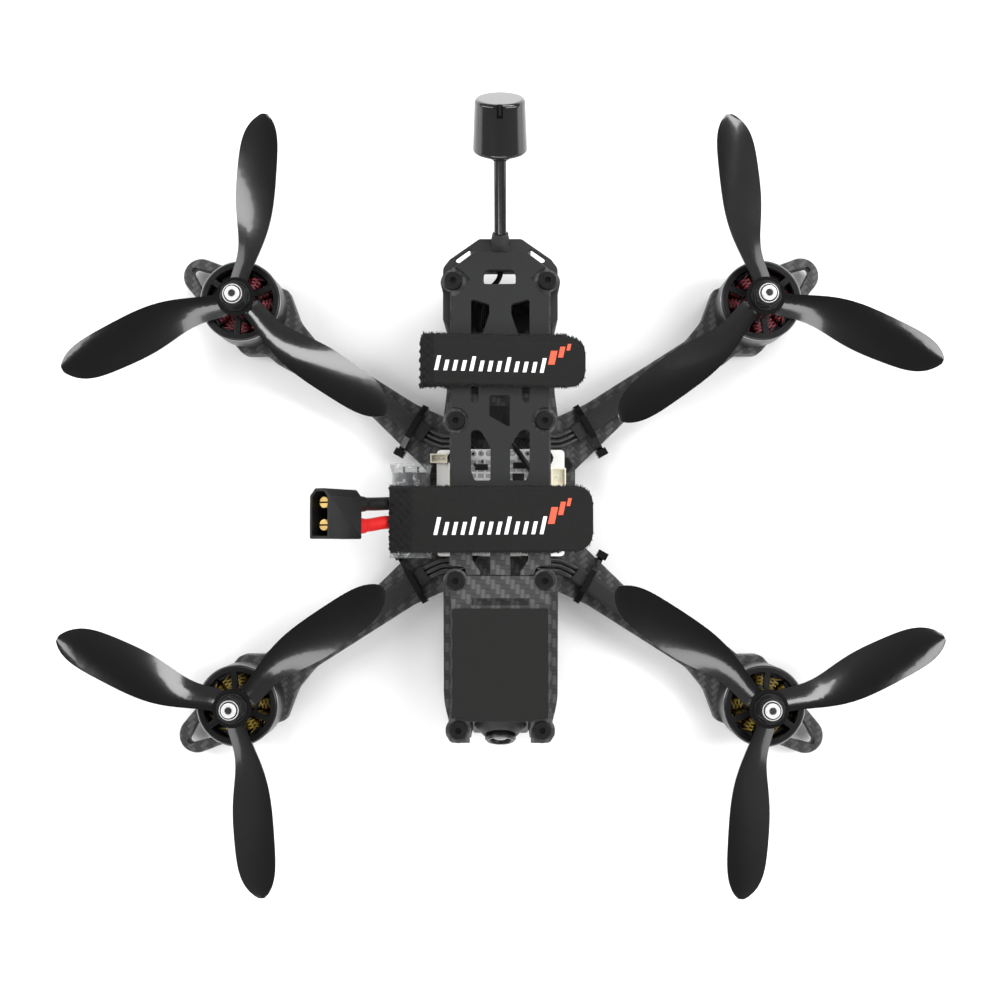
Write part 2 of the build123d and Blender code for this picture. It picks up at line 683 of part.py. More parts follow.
for lead_name, lead_route in (("power_lead_black", lead_black_route), ("power_lead_red", lead_red_route)):
    with BuildPart() as power_lead:
        with BuildLine() as lead_line:
            FilletPolyline(*lead_route, radius=bend_radii(lead_route))
        with BuildSketch(Plane(lead_line.line @ 0, z_dir=lead_line.line % 0)):
            Circle(lead_r)
        sweep(path=lead_line.line)
    print(lead_name, "radii", [round(radius, 1) for radius in bend_radii(lead_route)])
    lead_length = sum(edge.length for edge in lead_line.edges())
    volume_ratio = power_lead.part.volume / (lead_length * pi * lead_r**2)
    print(lead_name, "length", round(lead_length, 2), "volume ratio", round(volume_ratio, 4))
    write(power_lead, lead_name)

plug_plane = Plane(plug_centre, x_dir=(0, 1, 0), z_dir=(-cos(radians(plug_tilt)), 0, sin(radians(plug_tilt))))
pin_places = [(3.6, 0), (-3.6, 0)]
plug_outline = [
    (-8.0, -4.05, 0.6), (5.6, -4.05, 0.5), (8.0, -1.9, 0.5), (8.0, 1.9, 0.5), (5.6, 4.05, 0.5),
    (-8.0, 4.05, 0.6),
]
plug_cavity = [
    (-7.1, -3.15, 0.4), (5.3, -3.15, 0.4), (7.1, -1.6, 0.4), (7.1, 1.6, 0.4), (5.3, 3.15, 0.4),
    (-7.1, 3.15, 0.4),
]

with BuildPart() as power_plug_housing:
    with BuildSketch(plug_plane.offset(0.2)):
        outline(plug_outline)
    extrude(amount=16.0)
    with BuildSketch(plug_plane.offset(7.2)):
        outline(plug_cavity)
    extrude(amount=12.0, mode=Mode.SUBTRACT)
    with BuildSketch(plug_plane.offset(-1.0)):
        with Locations(*pin_places):
            Circle(1.8)
    extrude(amount=12.0, mode=Mode.SUBTRACT)
write(power_plug_housing, "power_plug_housing")

with BuildPart() as power_plug_pins:
    with BuildSketch(plug_plane.offset(0.2)):
        with Locations(*pin_places):
            Circle(1.75)
    extrude(amount=14.0)
    with BuildSketch(plug_plane.offset(8.0)):
        with Locations(*pin_places):
            Rectangle(0.5, 4.0)
    extrude(amount=8.0, mode=Mode.SUBTRACT)
write(power_plug_pins, "power_plug_pins")

# ---------------------------------------------------------------- battery straps, as plain closed bands

strap_thick = 3.1
strap_under_z = 33.0


def strap_band(left, right, y_low, y_high, turn):
    """A band round the top plate: overlapped layers above, one layer at the sides and below."""
    centre = Vector((left + right) / 2, (y_low + y_high) / 2, 0)
    across = Vector(1, 0, 0).rotate(Axis.Z, turn)
    band_plane = Plane(centre, x_dir=across, z_dir=Vector(0, -1, 0).rotate(Axis.Z, turn))
    with BuildPart() as band:
        with BuildSketch(band_plane):
            with Locations((0, pad_z + pad_thick + 0.3)):
                Rectangle(right - left, strap_thick, align=(Align.CENTER, Align.MIN))
            with Locations((-centre.X, strap_under_z)):
                Rectangle(39.4, 5.6, align=(Align.CENTER, Align.MIN))
            with Locations((-centre.X, strap_under_z + 1.6)):
                Rectangle(35.6, 3.9, align=(Align.CENTER, Align.MIN), mode=Mode.SUBTRACT)
        extrude(amount=(y_high - y_low) / 2, both=True)
    return band


write(strap_band(-26.6, 28.6, 38.4, 55.7, -1.5), "battery_strap_rear")
write(strap_band(-37.0, 31.0, -17.2, 4.7, 0.0), "battery_strap_front")

# ---------------------------------------------------------------- motors

motor_places = {quarter: (side * motor_x, end * motor_y) for quarter, (side, end) in quarters.items()}
base_r = 13.4
tube_r = 4.9
bearing_r = 4.0
core_z = 12.6
core_height = 7.0
teeth = 12

with BuildPart() as motor_bases:
    with Locations(*motor_places.values()):
        with Locations((0, 0, mid_z)):
            Cylinder(base_r, 2.6, align=(Align.CENTER, Align.CENTER, Align.MIN))
            Cylinder(tube_r, 13.2, align=(Align.CENTER, Align.CENTER, Align.MIN))
            Cylinder(bearing_r, 13.2, align=(Align.CENTER, Align.CENTER, Align.MIN), mode=Mode.SUBTRACT)
        with Locations((0, 0, 12.2)):
            Cylinder(bearing_r + 0.2, 5.4, align=(Align.CENTER, Align.CENTER, Align.MIN))
            Cylinder(3.2, 5.4, align=(Align.CENTER, Align.CENTER, Align.MIN), mode=Mode.SUBTRACT)
    with BuildSketch(Plane.XY.offset(mid_z)):
        with Locations(*motor_places.values()):
            with PolarLocations(screw_circle_r, 4, start_angle=45):
                Circle(m3_r + 0.02)
            with PolarLocations(8.8, 4):
                SlotOverall(6.6, 4.2)
    extrude(amount=2.6, mode=Mode.SUBTRACT)
write(motor_bases, "motor_bases")

with BuildPart() as motor_bearings:
    for low in (9.0, 17.8):
        with BuildSketch(Plane.XY.offset(low)):
            with Locations(*motor_places.values()):
                Circle(bearing_r - 0.02)
                Circle(shaft_r + 0.03, mode=Mode.SUBTRACT)
        extrude(amount=3.0)
        for face_z, depth in ((low, 0.4), (low + 3.0, -0.4)):
            with BuildSketch(Plane.XY.offset(face_z)):
                with Locations(*motor_places.values()):
                    Circle(3.4)
                    Circle(2.7, mode=Mode.SUBTRACT)
            extrude(amount=depth, mode=Mode.SUBTRACT)
write(motor_bearings, "motor_bearings")

with BuildPart() as motor_stators:
    with BuildSketch(Plane.XY.offset(core_z)):
        with Locations(*motor_places.values()):
            Circle(6.2)
            with PolarLocations(7.8, teeth):
                Rectangle(6.4, 1.7)
            with PolarLocations(10.95, teeth):
                Rectangle(1.0, 4.9)
        with Locations(*motor_places.values()):
            Circle(tube_r + 0.02, mode=Mode.SUBTRACT)
    extrude(amount=core_height)
write(motor_stators, "motor_stators")

with BuildPart() as motor_windings:
    with BuildSketch(Plane.XY.offset(core_z - 0.8)):
        with Locations(*motor_places.values()):
            with PolarLocations(8.35, teeth):
                Trapezoid(4.6, 3.9, 104.0, rotation=90)
    extrude(amount=core_height + 1.6)
    with BuildSketch(Plane.XY.offset(core_z - 0.05)):
        with Locations(*motor_places.values()):
            with PolarLocations(8.0, teeth):
                Rectangle(8.0, 1.8)
    extrude(amount=core_height + 0.1, mode=Mode.SUBTRACT)
write(motor_windings, "motor_windings")

with BuildPart() as motor_screws:
    for x, y in motor_places.values():
        with Locations((x, y, 0)):
            with PolarLocations(screw_circle_r, 4, start_angle=45):
                with Locations((0, 0, 0.4)):
                    Cylinder(2.8, 1.6, align=(Align.CENTER, Align.CENTER, Align.MIN))
                    Cylinder(m3_r - 0.02, 10.0, align=(Align.CENTER, Align.CENTER, Align.MIN))
                    Cylinder(1.1, 1.0, align=(Align.CENTER, Align.CENTER, Align.MIN), mode=Mode.SUBTRACT)
write(motor_screws, "motor_screws")

bell_low_z = 11.2
bell_rim_z = 25.6
bell_rim_low_z = 23.4
bell_hub_z = 22.0
bell_wall_r = 12.7
magnets = 14
spokes = 6

with BuildPart() as bell:
    with BuildSketch(Plane.XY.offset(bell_low_z)):
        Circle(bell_r)
        Circle(bell_wall_r, mode=Mode.SUBTRACT)
    extrude(amount=bell_rim_z - bell_low_z)
    with BuildSketch(Plane.XY.offset(bell_rim_low_z)):
        Circle(bell_r)
        Circle(11.6, mode=Mode.SUBTRACT)
        with PolarLocations(8.2, spokes):
            Rectangle(8.4, 2.0)
    extrude(amount=bell_rim_z - bell_rim_low_z)
    with BuildSketch(Plane.XY.offset(bell_hub_z)):
        Circle(5.2)
    extrude(amount=prop_seat_z - bell_hub_z)
    chamfer(bell.faces().filter_by(Plane.XY).sort_by(Axis.Z)[-1].edges(), 0.4)
    round_edges = bell.edges().filter_by(GeomType.CIRCLE)
    outer_edges = round_edges.filter_by(lambda edge: abs(edge.radius - bell_r) < 0.01)
    chamfer(outer_edges.sort_by(Axis.Z)[-1], 0.7)
    with Locations((0, 0, bell_hub_z - 1)):
        Cylinder(thread_r + 0.02, 8, align=(Align.CENTER, Align.CENTER, Align.MIN), mode=Mode.SUBTRACT)
    with BuildSketch(Plane.XY.offset(core_z - 0.6)):
        Circle(bell_wall_r + 0.2)
        Circle(bell_wall_r - 0.75, mode=Mode.SUBTRACT)
        with PolarLocations(bell_wall_r, magnets):
            Rectangle(2.0, 0.7, mode=Mode.SUBTRACT)
    extrude(amount=core_height + 2.0)

with BuildPart() as shaft:
    with Locations((0, 0, 8.6)):
        Cylinder(shaft_r, bell_hub_z - 8.6, align=(Align.CENTER, Align.CENTER, Align.MIN))
    with Locations((0, 0, bell_hub_z)):
        Cylinder(thread_r, shaft_top_z - bell_hub_z, align=(Align.CENTER, Align.CENTER, Align.MIN))
    chamfer(shaft.faces().sort_by(Axis.Z)[-1].edges(), 0.4)
    with Locations((0, 0, shaft_top_z - 4.0)):
        Cylinder(1.25, 5, align=(Align.CENTER, Align.CENTER, Align.MIN), mode=Mode.SUBTRACT)

with BuildPart() as prop_nut:
    with BuildSketch(Plane.XY.offset(nut_z)):
        Circle(5.1)
    extrude(amount=1.1)
    with BuildSketch(Plane.XY.offset(nut_z + 1.1)):
        RegularPolygon(4.0, 6, major_radius=False)
    extrude(amount=3.2)
    with BuildSketch(Plane.XY.offset(nut_z + 4.3)):
        Circle(3.6)
    extrude(amount=0.7, taper=15)
    with Locations((0, 0, nut_z - 1)):
        Cylinder(thread_r + 0.03, 8, align=(Align.CENTER, Align.CENTER, Align.MIN), mode=Mode.SUBTRACT)

# One blade along +X that leads towards +Y: radius, leading edge, trailing edge, thickness, pitch in degrees
blade_stations = [
    (4.5, 3.4, -3.2, 2.6, 36.0),
    (12.0, 5.3, -2.6, 2.0, 33.0),
    (25.0, 9.0, -3.1, 1.5, 27.0),
    (38.0, 9.7, -5.0, 1.3, 20.0),
    (50.0, 9.1, -5.1, 1.1, 15.0),
    (58.0, 7.9, -3.9, 0.95, 12.0),
    (62.6, 5.8, -1.2, 0.8, 10.5),
    (64.8, 3.7, 1.5, 0.6, 10.0),
]
blade_z = prop_seat_z + prop_hub_height / 2

with BuildPart() as blade:
    for station_r, lead_y, trail_y, thick, pitch in blade_stations:
        chord = lead_y - trail_y
        places = []
        for surface in (1, -1):
            for part, lift in ((-0.5, 0.22), (-0.2, 0.42), (0.2, 0.5), (0.5, 0.22)):
                camber = 0.03 * chord * (1 - 4 * part**2)
                height = part * chord * tan(radians(pitch)) + surface * lift * thick + camber
                places.append(((lead_y + trail_y) / 2 + part * chord, height))
        crown = places[:4]
        belly = places[:3:-1]
        with BuildSketch(Plane((station_r, 0, blade_z), x_dir=(0, 1, 0), z_dir=(1, 0, 0))):
            with BuildLine():
                Spline(*crown)
                Line(crown[-1], belly[0])
                Spline(*belly)
                Line(belly[-1], crown[0])
            make_face()
    loft()

with BuildPart() as prop_ccw:
    with Locations((0, 0, prop_seat_z)):
        Cylinder(6.6, prop_hub_height, align=(Align.CENTER, Align.CENTER, Align.MIN))
    with PolarLocations(0, 3):
        add(blade.part)
    with Locations((0, 0, prop_seat_z - 3)):
        Cylinder(thread_r + 0.03, 14, align=(Align.CENTER, Align.CENTER, Align.MIN), mode=Mode.SUBTRACT)

with BuildPart() as prop_cw:
    add(prop_ccw.part)
    mirror(about=Plane.XZ, mode=Mode.REPLACE)

# Which way each propeller is made, and the direction that one blade points in
propellers = {
    "rear_left": (prop_cw, 84.5),
    "rear_right": (prop_ccw, 98.0),
    "front_left": (prop_ccw, 36.5),
    "front_right": (prop_cw, 24.0),
}

for quarter, (x, y) in motor_places.items():
    kind, heading = propellers[quarter]
    spinning = {"propeller": kind, "motor_bell": bell, "motor_shaft": shaft, "prop_nut": prop_nut}
    for piece_name, piece in spinning.items():
        with BuildPart() as placed:
            with Locations(Location((x, y, 0), (0, 0, heading))):
                add(piece.part)
        write(placed, f"{piece_name}_{quarter}")
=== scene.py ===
import json
import math
import random

import bmesh
import bpy
from mathutils import Matrix, Vector, noise


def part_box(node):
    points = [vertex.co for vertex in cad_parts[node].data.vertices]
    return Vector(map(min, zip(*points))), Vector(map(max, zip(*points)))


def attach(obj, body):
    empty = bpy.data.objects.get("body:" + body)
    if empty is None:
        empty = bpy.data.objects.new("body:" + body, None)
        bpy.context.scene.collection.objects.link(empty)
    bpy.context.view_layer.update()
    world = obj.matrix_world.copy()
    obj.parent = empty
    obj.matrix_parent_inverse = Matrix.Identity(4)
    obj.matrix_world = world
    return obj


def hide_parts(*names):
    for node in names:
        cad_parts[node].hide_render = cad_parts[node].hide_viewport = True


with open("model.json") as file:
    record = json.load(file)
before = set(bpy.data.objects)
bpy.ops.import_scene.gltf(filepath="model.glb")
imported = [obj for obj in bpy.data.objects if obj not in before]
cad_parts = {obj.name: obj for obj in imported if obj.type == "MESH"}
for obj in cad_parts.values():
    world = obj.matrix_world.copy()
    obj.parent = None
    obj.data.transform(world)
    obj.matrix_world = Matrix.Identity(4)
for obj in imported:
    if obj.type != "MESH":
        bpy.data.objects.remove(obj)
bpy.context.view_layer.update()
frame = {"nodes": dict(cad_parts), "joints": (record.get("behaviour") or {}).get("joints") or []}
nodes = frame["nodes"]
joints = {joint["name"]: joint for joint in frame["joints"]}
mm = 0.001
quarters = ("rear_left", "rear_right", "front_left", "front_right")


# ---------------------------------------------------------------- camera, light and floor


def make_camera():
    """Looks almost straight down from above the front of the body."""
    camera = bpy.data.objects.new("camera", bpy.data.cameras.new("camera"))
    bpy.context.collection.objects.link(camera)
    camera.data.lens = 46.4
    camera.data.clip_start = 0.01
    camera.location = Vector((2.3, -16.5, 470.0)) * mm
    ahead = (Vector((-0.3, 1.7, 0.0)) * mm - camera.location).normalized()
    right = ahead.cross(Vector((0, 1, 0))).normalized()
    camera.rotation_euler = Matrix((right, right.cross(ahead), -ahead)).transposed().to_euler()
    bpy.context.scene.camera = camera


def make_light(name, place, size, power):
    """A soft rectangular light, aimed at the origin."""
    light = bpy.data.lights.new(name, "AREA")
    light.shape = "RECTANGLE"
    light.size, light.size_y = size
    light.energy = power
    lamp = bpy.data.objects.new(name, light)
    bpy.context.collection.objects.link(lamp)
    lamp.location = Vector(place)
    lamp.rotation_euler = (-lamp.location).to_track_quat("-Z", "Y").to_euler()


def make_sky():
    """A pale sky, brightest near the horizon, dim straight above and dimmer still in reflections."""
    world = bpy.data.worlds.new("sky")
    world.use_nodes = True
    tree = world.node_tree
    height = tree.nodes.new("ShaderNodeSeparateXYZ")
    tree.links.new(tree.nodes.new("ShaderNodeTexCoord").outputs["Generated"], height.inputs[0])
    fade = tree.nodes.new("ShaderNodeMapRange")
    fade.interpolation_type = "SMOOTHSTEP"
    fade.inputs["From Min"].default_value = 0.45
    fade.inputs["From Max"].default_value = 1.0
    fade.inputs["To Min"].default_value = 1.15
    fade.inputs["To Max"].default_value = 0.5
    tree.nodes["Background"].inputs["Color"].default_value = (1.0, 1.0, 1.0, 1)
    tree.links.new(height.outputs["Z"], fade.inputs["Value"])
    mirrored = tree.nodes.new("ShaderNodeMapRange")
    mirrored.inputs["To Min"].default_value = 1.0
    mirrored.inputs["To Max"].default_value = 0.3
    tree.links.new(tree.nodes.new("ShaderNodeLightPath").outputs["Is Glossy Ray"], mirrored.inputs["Value"])
    strength = tree.nodes.new("ShaderNodeMath")
    strength.operation = "MULTIPLY"
    tree.links.new(fade.outputs[0], strength.inputs[0])
    tree.links.new(mirrored.outputs[0], strength.inputs[1])
    tree.links.new(strength.outputs[0], tree.nodes["Background"].inputs["Strength"])
    bpy.context.scene.world = world


def make_stage():
    """A pale floor under the drone, a graded sky, and four soft strip lights round it."""
    reach, level = 15.0, -0.2 * mm
    corners = [(x * reach, y * reach, level) for x, y in ((-1, -1), (1, -1), (1, 1), (-1, 1))]
    mesh = bpy.data.meshes.new("floor")
    mesh.from_pydata(corners, [], [(0, 1, 2, 3)])
    floor = bpy.data.objects.new("floor", mesh)
    bpy.context.collection.objects.link(floor)
    paint = bpy.data.materials.new("floor_paint")
    paint.use_nodes = True
    surface = paint.node_tree.nodes["Principled BSDF"]
    surface.inputs["Base Color"].default_value = (0.92, 0.92, 0.92, 1)
    surface.inputs["Roughness"].default_value = 0.7
    mesh.materials.append(paint)
    make_sky()
    make_light("light_front", (-0.1, -1.0, 0.55), (1.4, 0.30), 6.5)
    make_light("light_rear", (0.35, 0.95, 0.75), (1.1, 0.34), 10)
    make_light("light_left", (-0.95, 0.25, 0.75), (0.28, 1.2), 6.5)
    make_light("light_right", (0.95, 0.1, 0.85), (0.34, 1.2), 9)
    bpy.context.scene.view_settings.view_transform = "Standard"


# ---------------------------------------------------------------- materials


class Graph:
    """One material's node tree, built by short calls that each return an output socket."""

    def __init__(self, name, color, roughness, metallic=0.0, **fixed):
        self.material = bpy.data.materials.new(name)
        self.material.use_nodes = True
        self.tree = self.material.node_tree
        self.surface = self.tree.nodes["Principled BSDF"]
        self.surface.inputs["Base Color"].default_value = (*color, 1)
        self.surface.inputs["Roughness"].default_value = roughness
        self.surface.inputs["Metallic"].default_value = metallic
        for socket, value in fixed.items():
            title = socket.replace("_", " ").title().replace("Ior", "IOR")
            self.surface.inputs[title].default_value = value

    def feed(self, socket, value):
        if isinstance(value, bpy.types.NodeSocket):
            self.tree.links.new(value, socket)
        else:
            socket.default_value = value

    def make(self, kind, *values, out=0, **settings):
        node = self.tree.nodes.new(kind)
        for name, value in settings.items():
            setattr(node, name, value)
        for index, value in enumerate(values):
            if value is not None:
                self.feed(node.inputs[index], value)
        return node.outputs[out]

    def math(self, operation, *values):
        return self.make("ShaderNodeMath", *values, operation=operation)

    def place(self):
        return self.make("ShaderNodeTexCoord", out=3)

    def split(self, vector):
        node = self.tree.nodes.new("ShaderNodeSeparateXYZ")
        self.feed(node.inputs[0], vector)
        return node.outputs

    def stretch(self, vector, scale, turn=(0, 0, 0)):
        return self.make("ShaderNodeMapping", vector, None, turn, scale)

    def noise(self, vector, scale, detail=3.0, roughness=0.55):
        return self.make("ShaderNodeTexNoise", vector, None, scale, detail, roughness)

    def blend(self, share, first, second):
        node = self.tree.nodes.new("ShaderNodeMix")
        node.data_type = "RGBA"
        self.feed(node.inputs[0], share)
        for socket, value in ((node.inputs[6], first), (node.inputs[7], second)):
            self.feed(socket, value if isinstance(value, bpy.types.NodeSocket) else (*value, 1))
        return node.outputs[2]

    def between(self, share, low, high):
        return self.make("ShaderNodeMapRange", share, 0.0, 1.0, low, high)

    def bump(self, height, depth, strength=1.0):
        node = self.tree.nodes.new("ShaderNodeBump")
        node.inputs["Strength"].default_value = strength
        node.inputs["Distance"].default_value = depth
        self.feed(node.inputs["Height"], height)
        self.tree.links.new(node.outputs[0], self.surface.inputs["Normal"])

    def paint(self, color=None, roughness=None):
        if color is not None:
            self.feed(self.surface.inputs["Base Color"], color)
        if roughness is not None:
            self.feed(self.surface.inputs["Roughness"], roughness)
        return self.material


def carbon_weave(name, dark, light, turn=0.0):
    """Two-by-two twill: tows cross over two and under two, and cut edges show thin layers; weft tows are
    painted darker than warp tows as painted reflection, and each tow is painted darker towards its edges as
    painted shade.
    """
    tow, layer = 1.65 * mm, 0.25 * mm
    fine, long = 1 / (0.12 * mm), 1 / (3 * mm)
    edge_dark, edge_light = (0.012, 0.012, 0.013), (0.035, 0.035, 0.036)
    graph = Graph(name, light, 0.42, specular_ior_level=0.4)
    place = graph.place()
    u, v = graph.split(graph.stretch(place, (1 / tow,) * 3, (0, 0, turn)))[:2]
    steps = graph.math("ADD", graph.math("FLOOR", u), graph.math("FLOOR", v))
    warp = graph.math("LESS_THAN", graph.math("FLOORED_MODULO", steps, 4.0), 2.0)
    across_u = graph.math("SINE", graph.math("MULTIPLY", graph.math("FRACT", u), math.pi))
    across_v = graph.math("SINE", graph.math("MULTIPLY", graph.math("FRACT", v), math.pi))
    crown = graph.make("ShaderNodeMix", warp, None, across_v, across_u)
    streak_u = graph.noise(graph.stretch(place, (fine, long, 1.0), (0, 0, turn)), 1.0, 2.0)
    streak_v = graph.noise(graph.stretch(place, (long, fine, 1.0), (0, 0, turn)), 1.0, 2.0)
    streak = graph.make("ShaderNodeMix", warp, None, streak_v, streak_u)
    # Painted light: the weft tows' darker colour stands in for their different sheen, and the darkening
    # towards each tow's edges is painted shade where the tows dip under each other.
    shade = graph.math("MULTIPLY", graph.between(warp, 0.35, 1.0), graph.between(crown, 0.45, 1.0))
    shade = graph.math("MULTIPLY", shade, graph.between(streak, 0.6, 1.3))
    face = graph.blend(shade, dark, light)
    layers = graph.math("FRACT", graph.math("MULTIPLY", graph.split(place)[2], 1 / layer))
    edge = graph.blend(graph.between(layers, 0.0, 0.7), edge_dark, edge_light)
    normal = graph.make("ShaderNodeNewGeometry", out=1)
    flat = graph.math("GREATER_THAN", graph.math("ABSOLUTE", graph.split(normal)[2]), 0.5)
    graph.bump(graph.math("MULTIPLY", crown, flat), 0.10 * mm, 0.5)
    return graph.paint(graph.blend(flat, edge, face), graph.between(streak, 0.34, 0.55))


def plain(name, color, roughness, grain=0.3 * mm, depth=0.02 * mm, metallic=0.0, vary=0.25, **fixed):
    """A moulded, cast or machined surface with fine grain and slight unevenness of colour and gloss."""
    graph = Graph(name, color, roughness, metallic, **fixed)
    place = graph.place()
    fine = graph.noise(place, 1 / grain, 2.0)
    broad = graph.noise(place, 1 / (14 * grain), 3.0)
    low = tuple(channel * (1 - vary) for channel in color)
    high = tuple(min(1.0, channel * (1 + vary)) for channel in color)
    graph.bump(fine, depth, 0.6)
    shade = graph.blend(broad, low, high)
    gloss = graph.between(broad, max(0.03, roughness - 0.08), min(1.0, roughness + 0.08))
    return graph.paint(shade, gloss)


def layered(name, color, roughness):
    """A printed surface with fine layer lines."""
    step = 0.2 * mm
    graph = Graph(name, color, roughness)
    place = graph.place()
    height = graph.math("FRACT", graph.math("MULTIPLY", graph.split(place)[2], 1 / step))
    ridge = graph.math("SINE", graph.math("MULTIPLY", height, math.pi))
    graph.bump(ridge, 0.05 * mm, 0.5)
    broad = graph.noise(place, 220.0, 3.0)
    return graph.paint(graph.blend(broad, tuple(c * 0.75 for c in color), tuple(c * 1.3 for c in color)))


def fuzzy(name, color):
    """Hook-and-loop fabric: a pile of tiny loops, gathered in clumps, painted darker in the pile's hollows
    and lighter on its tops as painted shade and highlight.
    """
    graph = Graph(name, color, 0.92, sheen_weight=0.12, sheen_roughness=0.4, specular_ior_level=0.3)
    place = graph.place()
    pile = graph.noise(place, 2600.0, 4.0, 0.7)
    clumps = graph.noise(place, 420.0, 3.0)
    height = graph.math("ADD", graph.math("MULTIPLY", pile, 0.7), graph.math("MULTIPLY", clumps, 0.5))
    graph.bump(height, 0.35 * mm, 0.8)
    # Painted shade and highlight: the colour follows the pile's bump height, dark in its hollows and light on
    # the loops' tops.
    low = tuple(channel * 0.45 for channel in color)
    high = tuple(channel * 1.7 for channel in color)
    return graph.paint(graph.blend(graph.between(pile, -0.3, 1.3), low, high))


def webbing(name, color):
    """The strap's smooth printed face: a fine plain weave under a thin rubbery coat."""
    pitch = 0.42 * mm
    graph = Graph(name, color, 0.75, specular_ior_level=0.3)
    place = graph.place()
    x, y = graph.split(graph.stretch(place, (1 / pitch,) * 3))[:2]
    warp = graph.math("SINE", graph.math("MULTIPLY", x, math.tau))
    weft = graph.math("SINE", graph.math("MULTIPLY", y, math.tau))
    threads = graph.math("ADD", warp, weft)
    uneven = graph.noise(place, 380.0, 4.0, 0.6)
    graph.bump(graph.math("ADD", graph.math("MULTIPLY", threads, 0.25), uneven), 0.12 * mm, 0.6)
    low = tuple(channel * 0.8 for channel in color)
    high = tuple(channel * 1.25 for channel in color)
    return graph.paint(graph.blend(uneven, low, high), graph.between(uneven, 0.62, 0.85))


def braided(name, color):
    """A woven cable sleeve: two sets of slanted threads, painted lighter on their crowns and darker between
    them as painted shade.
    """
    pitch = 0.55 * mm
    graph = Graph(name, color, 0.7)
    x, y = graph.split(graph.stretch(graph.place(), (1 / pitch,) * 3, (0, 0, math.radians(12))))[:2]
    rising = graph.math("SINE", graph.math("MULTIPLY", graph.math("ADD", x, y), math.pi))
    falling = graph.math("SINE", graph.math("MULTIPLY", graph.math("SUBTRACT", x, y), math.pi))
    cross = graph.math("MULTIPLY", rising, falling)
    # Painted shade: the colour follows the threads' bump height, darker where they dip between crossings.
    share = graph.between(cross, 0.4, 0.8)
    graph.bump(cross, 0.08 * mm, 0.7)
    return graph.paint(graph.blend(share, tuple(c * 0.7 for c in color), tuple(c * 1.35 for c in color)))


def clear_film(name):
    """Thin clear shrink film: smoky where it is seen face on, brighter where it turns away."""
    graph = Graph(name, (0.30, 0.31, 0.32), 0.05, ior=2.0)
    crease = graph.noise(graph.place(), 260.0, 2.0)
    facing = graph.make("ShaderNodeLayerWeight", 0.35, out=1)
    graph.feed(graph.surface.inputs["Alpha"], graph.between(facing, 0.22, 1.0))
    graph.bump(crease, 1.5 * mm, 0.8)
    return graph.material


def brushed(name, color, roughness):
    """Metal with fine parallel lines."""
    graph = Graph(name, color, roughness, 1.0)
    lines = graph.noise(graph.stretch(graph.place(), (300.0, 300.0, 9000.0)), 1.0, 2.0)
    graph.bump(lines, 0.01 * mm, 0.4)
    return graph.paint(None, graph.between(lines, roughness - 0.07, roughness + 0.12))


